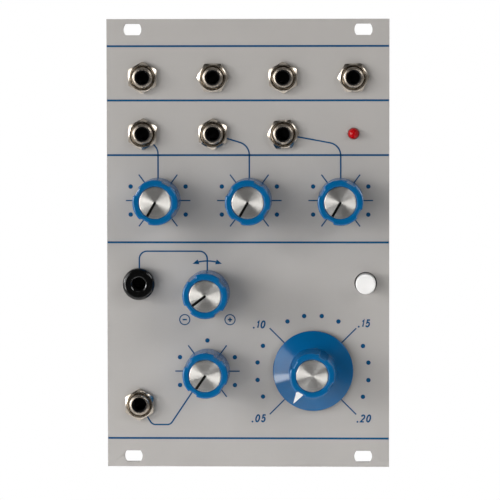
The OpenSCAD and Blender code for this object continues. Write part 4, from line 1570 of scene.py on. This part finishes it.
def hang(data, at, target, power):
    """Put a lamp somewhere and point it at a target."""
    data.energy = power
    obj = bpy.data.objects.new(data.name, data)
    obj.location = at
    obj.rotation_euler = (Vector(target) - Vector(at)).to_track_quat("-Z", "Y").to_euler()
    bpy.context.scene.collection.objects.link(obj)


def area_light(name, at, size, power, color=(1, 1, 1)):
    """A soft lamp that looks at the middle of the module."""
    data = bpy.data.lights.new(name, "AREA")
    data.shape = "RECTANGLE"
    data.size, data.size_y = size
    data.color = color
    hang(data, at, (0, 0, 0), power)


def floor_light(at, target, angle, power):
    """A spot on the floor in front of the module, which throws light back up at it."""
    data = bpy.data.lights.new("floor_light", "SPOT")
    data.spot_size = math.radians(angle)
    data.spot_blend = 1.0
    data.shadow_soft_size = FLOOR_LAMP_R
    hang(data, at, target, power)


def lights():
    """Most light comes from the left, less from the upper right, floor and above. Two lamps are behind."""
    area_light("key_left", (-1.06, -2.37, -0.04), (0.7, 0.95), 11, (1, 0.985, 0.96))
    area_light("wall_left", (-1.72, -1.29, 0.46), (1.7, 1.7), 23)
    area_light("side_left", (-3.94, -1.84, 0.62), (1.2, 1.2), 66)
    area_light("core_left", (-1.53, -1.92, -0.58), (0.5, 0.34), 5)
    area_light("upper_right", (1.57, -1.61, 1.1), (0.9, 0.9), 13)
    area_light("glint_right", (0.52, -2.38, 0.57), (0.3, 0.3), 1.5)
    floor_light((0.1, -0.35, 0.5), (0.01, -0.11, FLOOR_Z), 25, 5.5)
    area_light("ceiling", (0, -1.2, 2.1), (1.2, 0.8), 1.3)
    area_light("rear_left", (-0.7, 0.8, 0.5), (0.5, 0.5), 12)
    area_light("rear_right", (0.8, 0.7, 0.3), (0.5, 0.5), 8)


def camera():
    data = bpy.data.cameras.new("camera")
    data.sensor_width = SENSOR_MM
    data.lens = FOCAL_PX / IMAGE_PX * SENSOR_MM
    data.clip_start = CLIP_START
    obj = bpy.data.objects.new("camera", data)
    bpy.context.scene.collection.objects.link(obj)
    azimuth, elevation = math.radians(CAMERA_AZIMUTH), math.radians(CAMERA_ELEVATION)
    view = Vector((
        -math.sin(azimuth) * math.cos(elevation),
        math.cos(azimuth) * math.cos(elevation),
        -math.sin(elevation),
    ))
    aim = view.to_track_quat("-Z", "Y").to_matrix().to_4x4()
    roll = Matrix.Rotation(math.radians(CAMERA_ROLL), 4, "Z")
    obj.matrix_world = Matrix.Translation(CAMERA_AT) @ aim @ roll
    bpy.context.scene.camera = obj


front_panel()
panel_print()
jack_bushings()
hex_nuts()
ring_nut()
dials()
lamp()
button()
spring()
boards()
finish_nodes()
floor()
sky()
lights()
camera()
bpy.context.scene.view_settings.view_transform = "Standard"
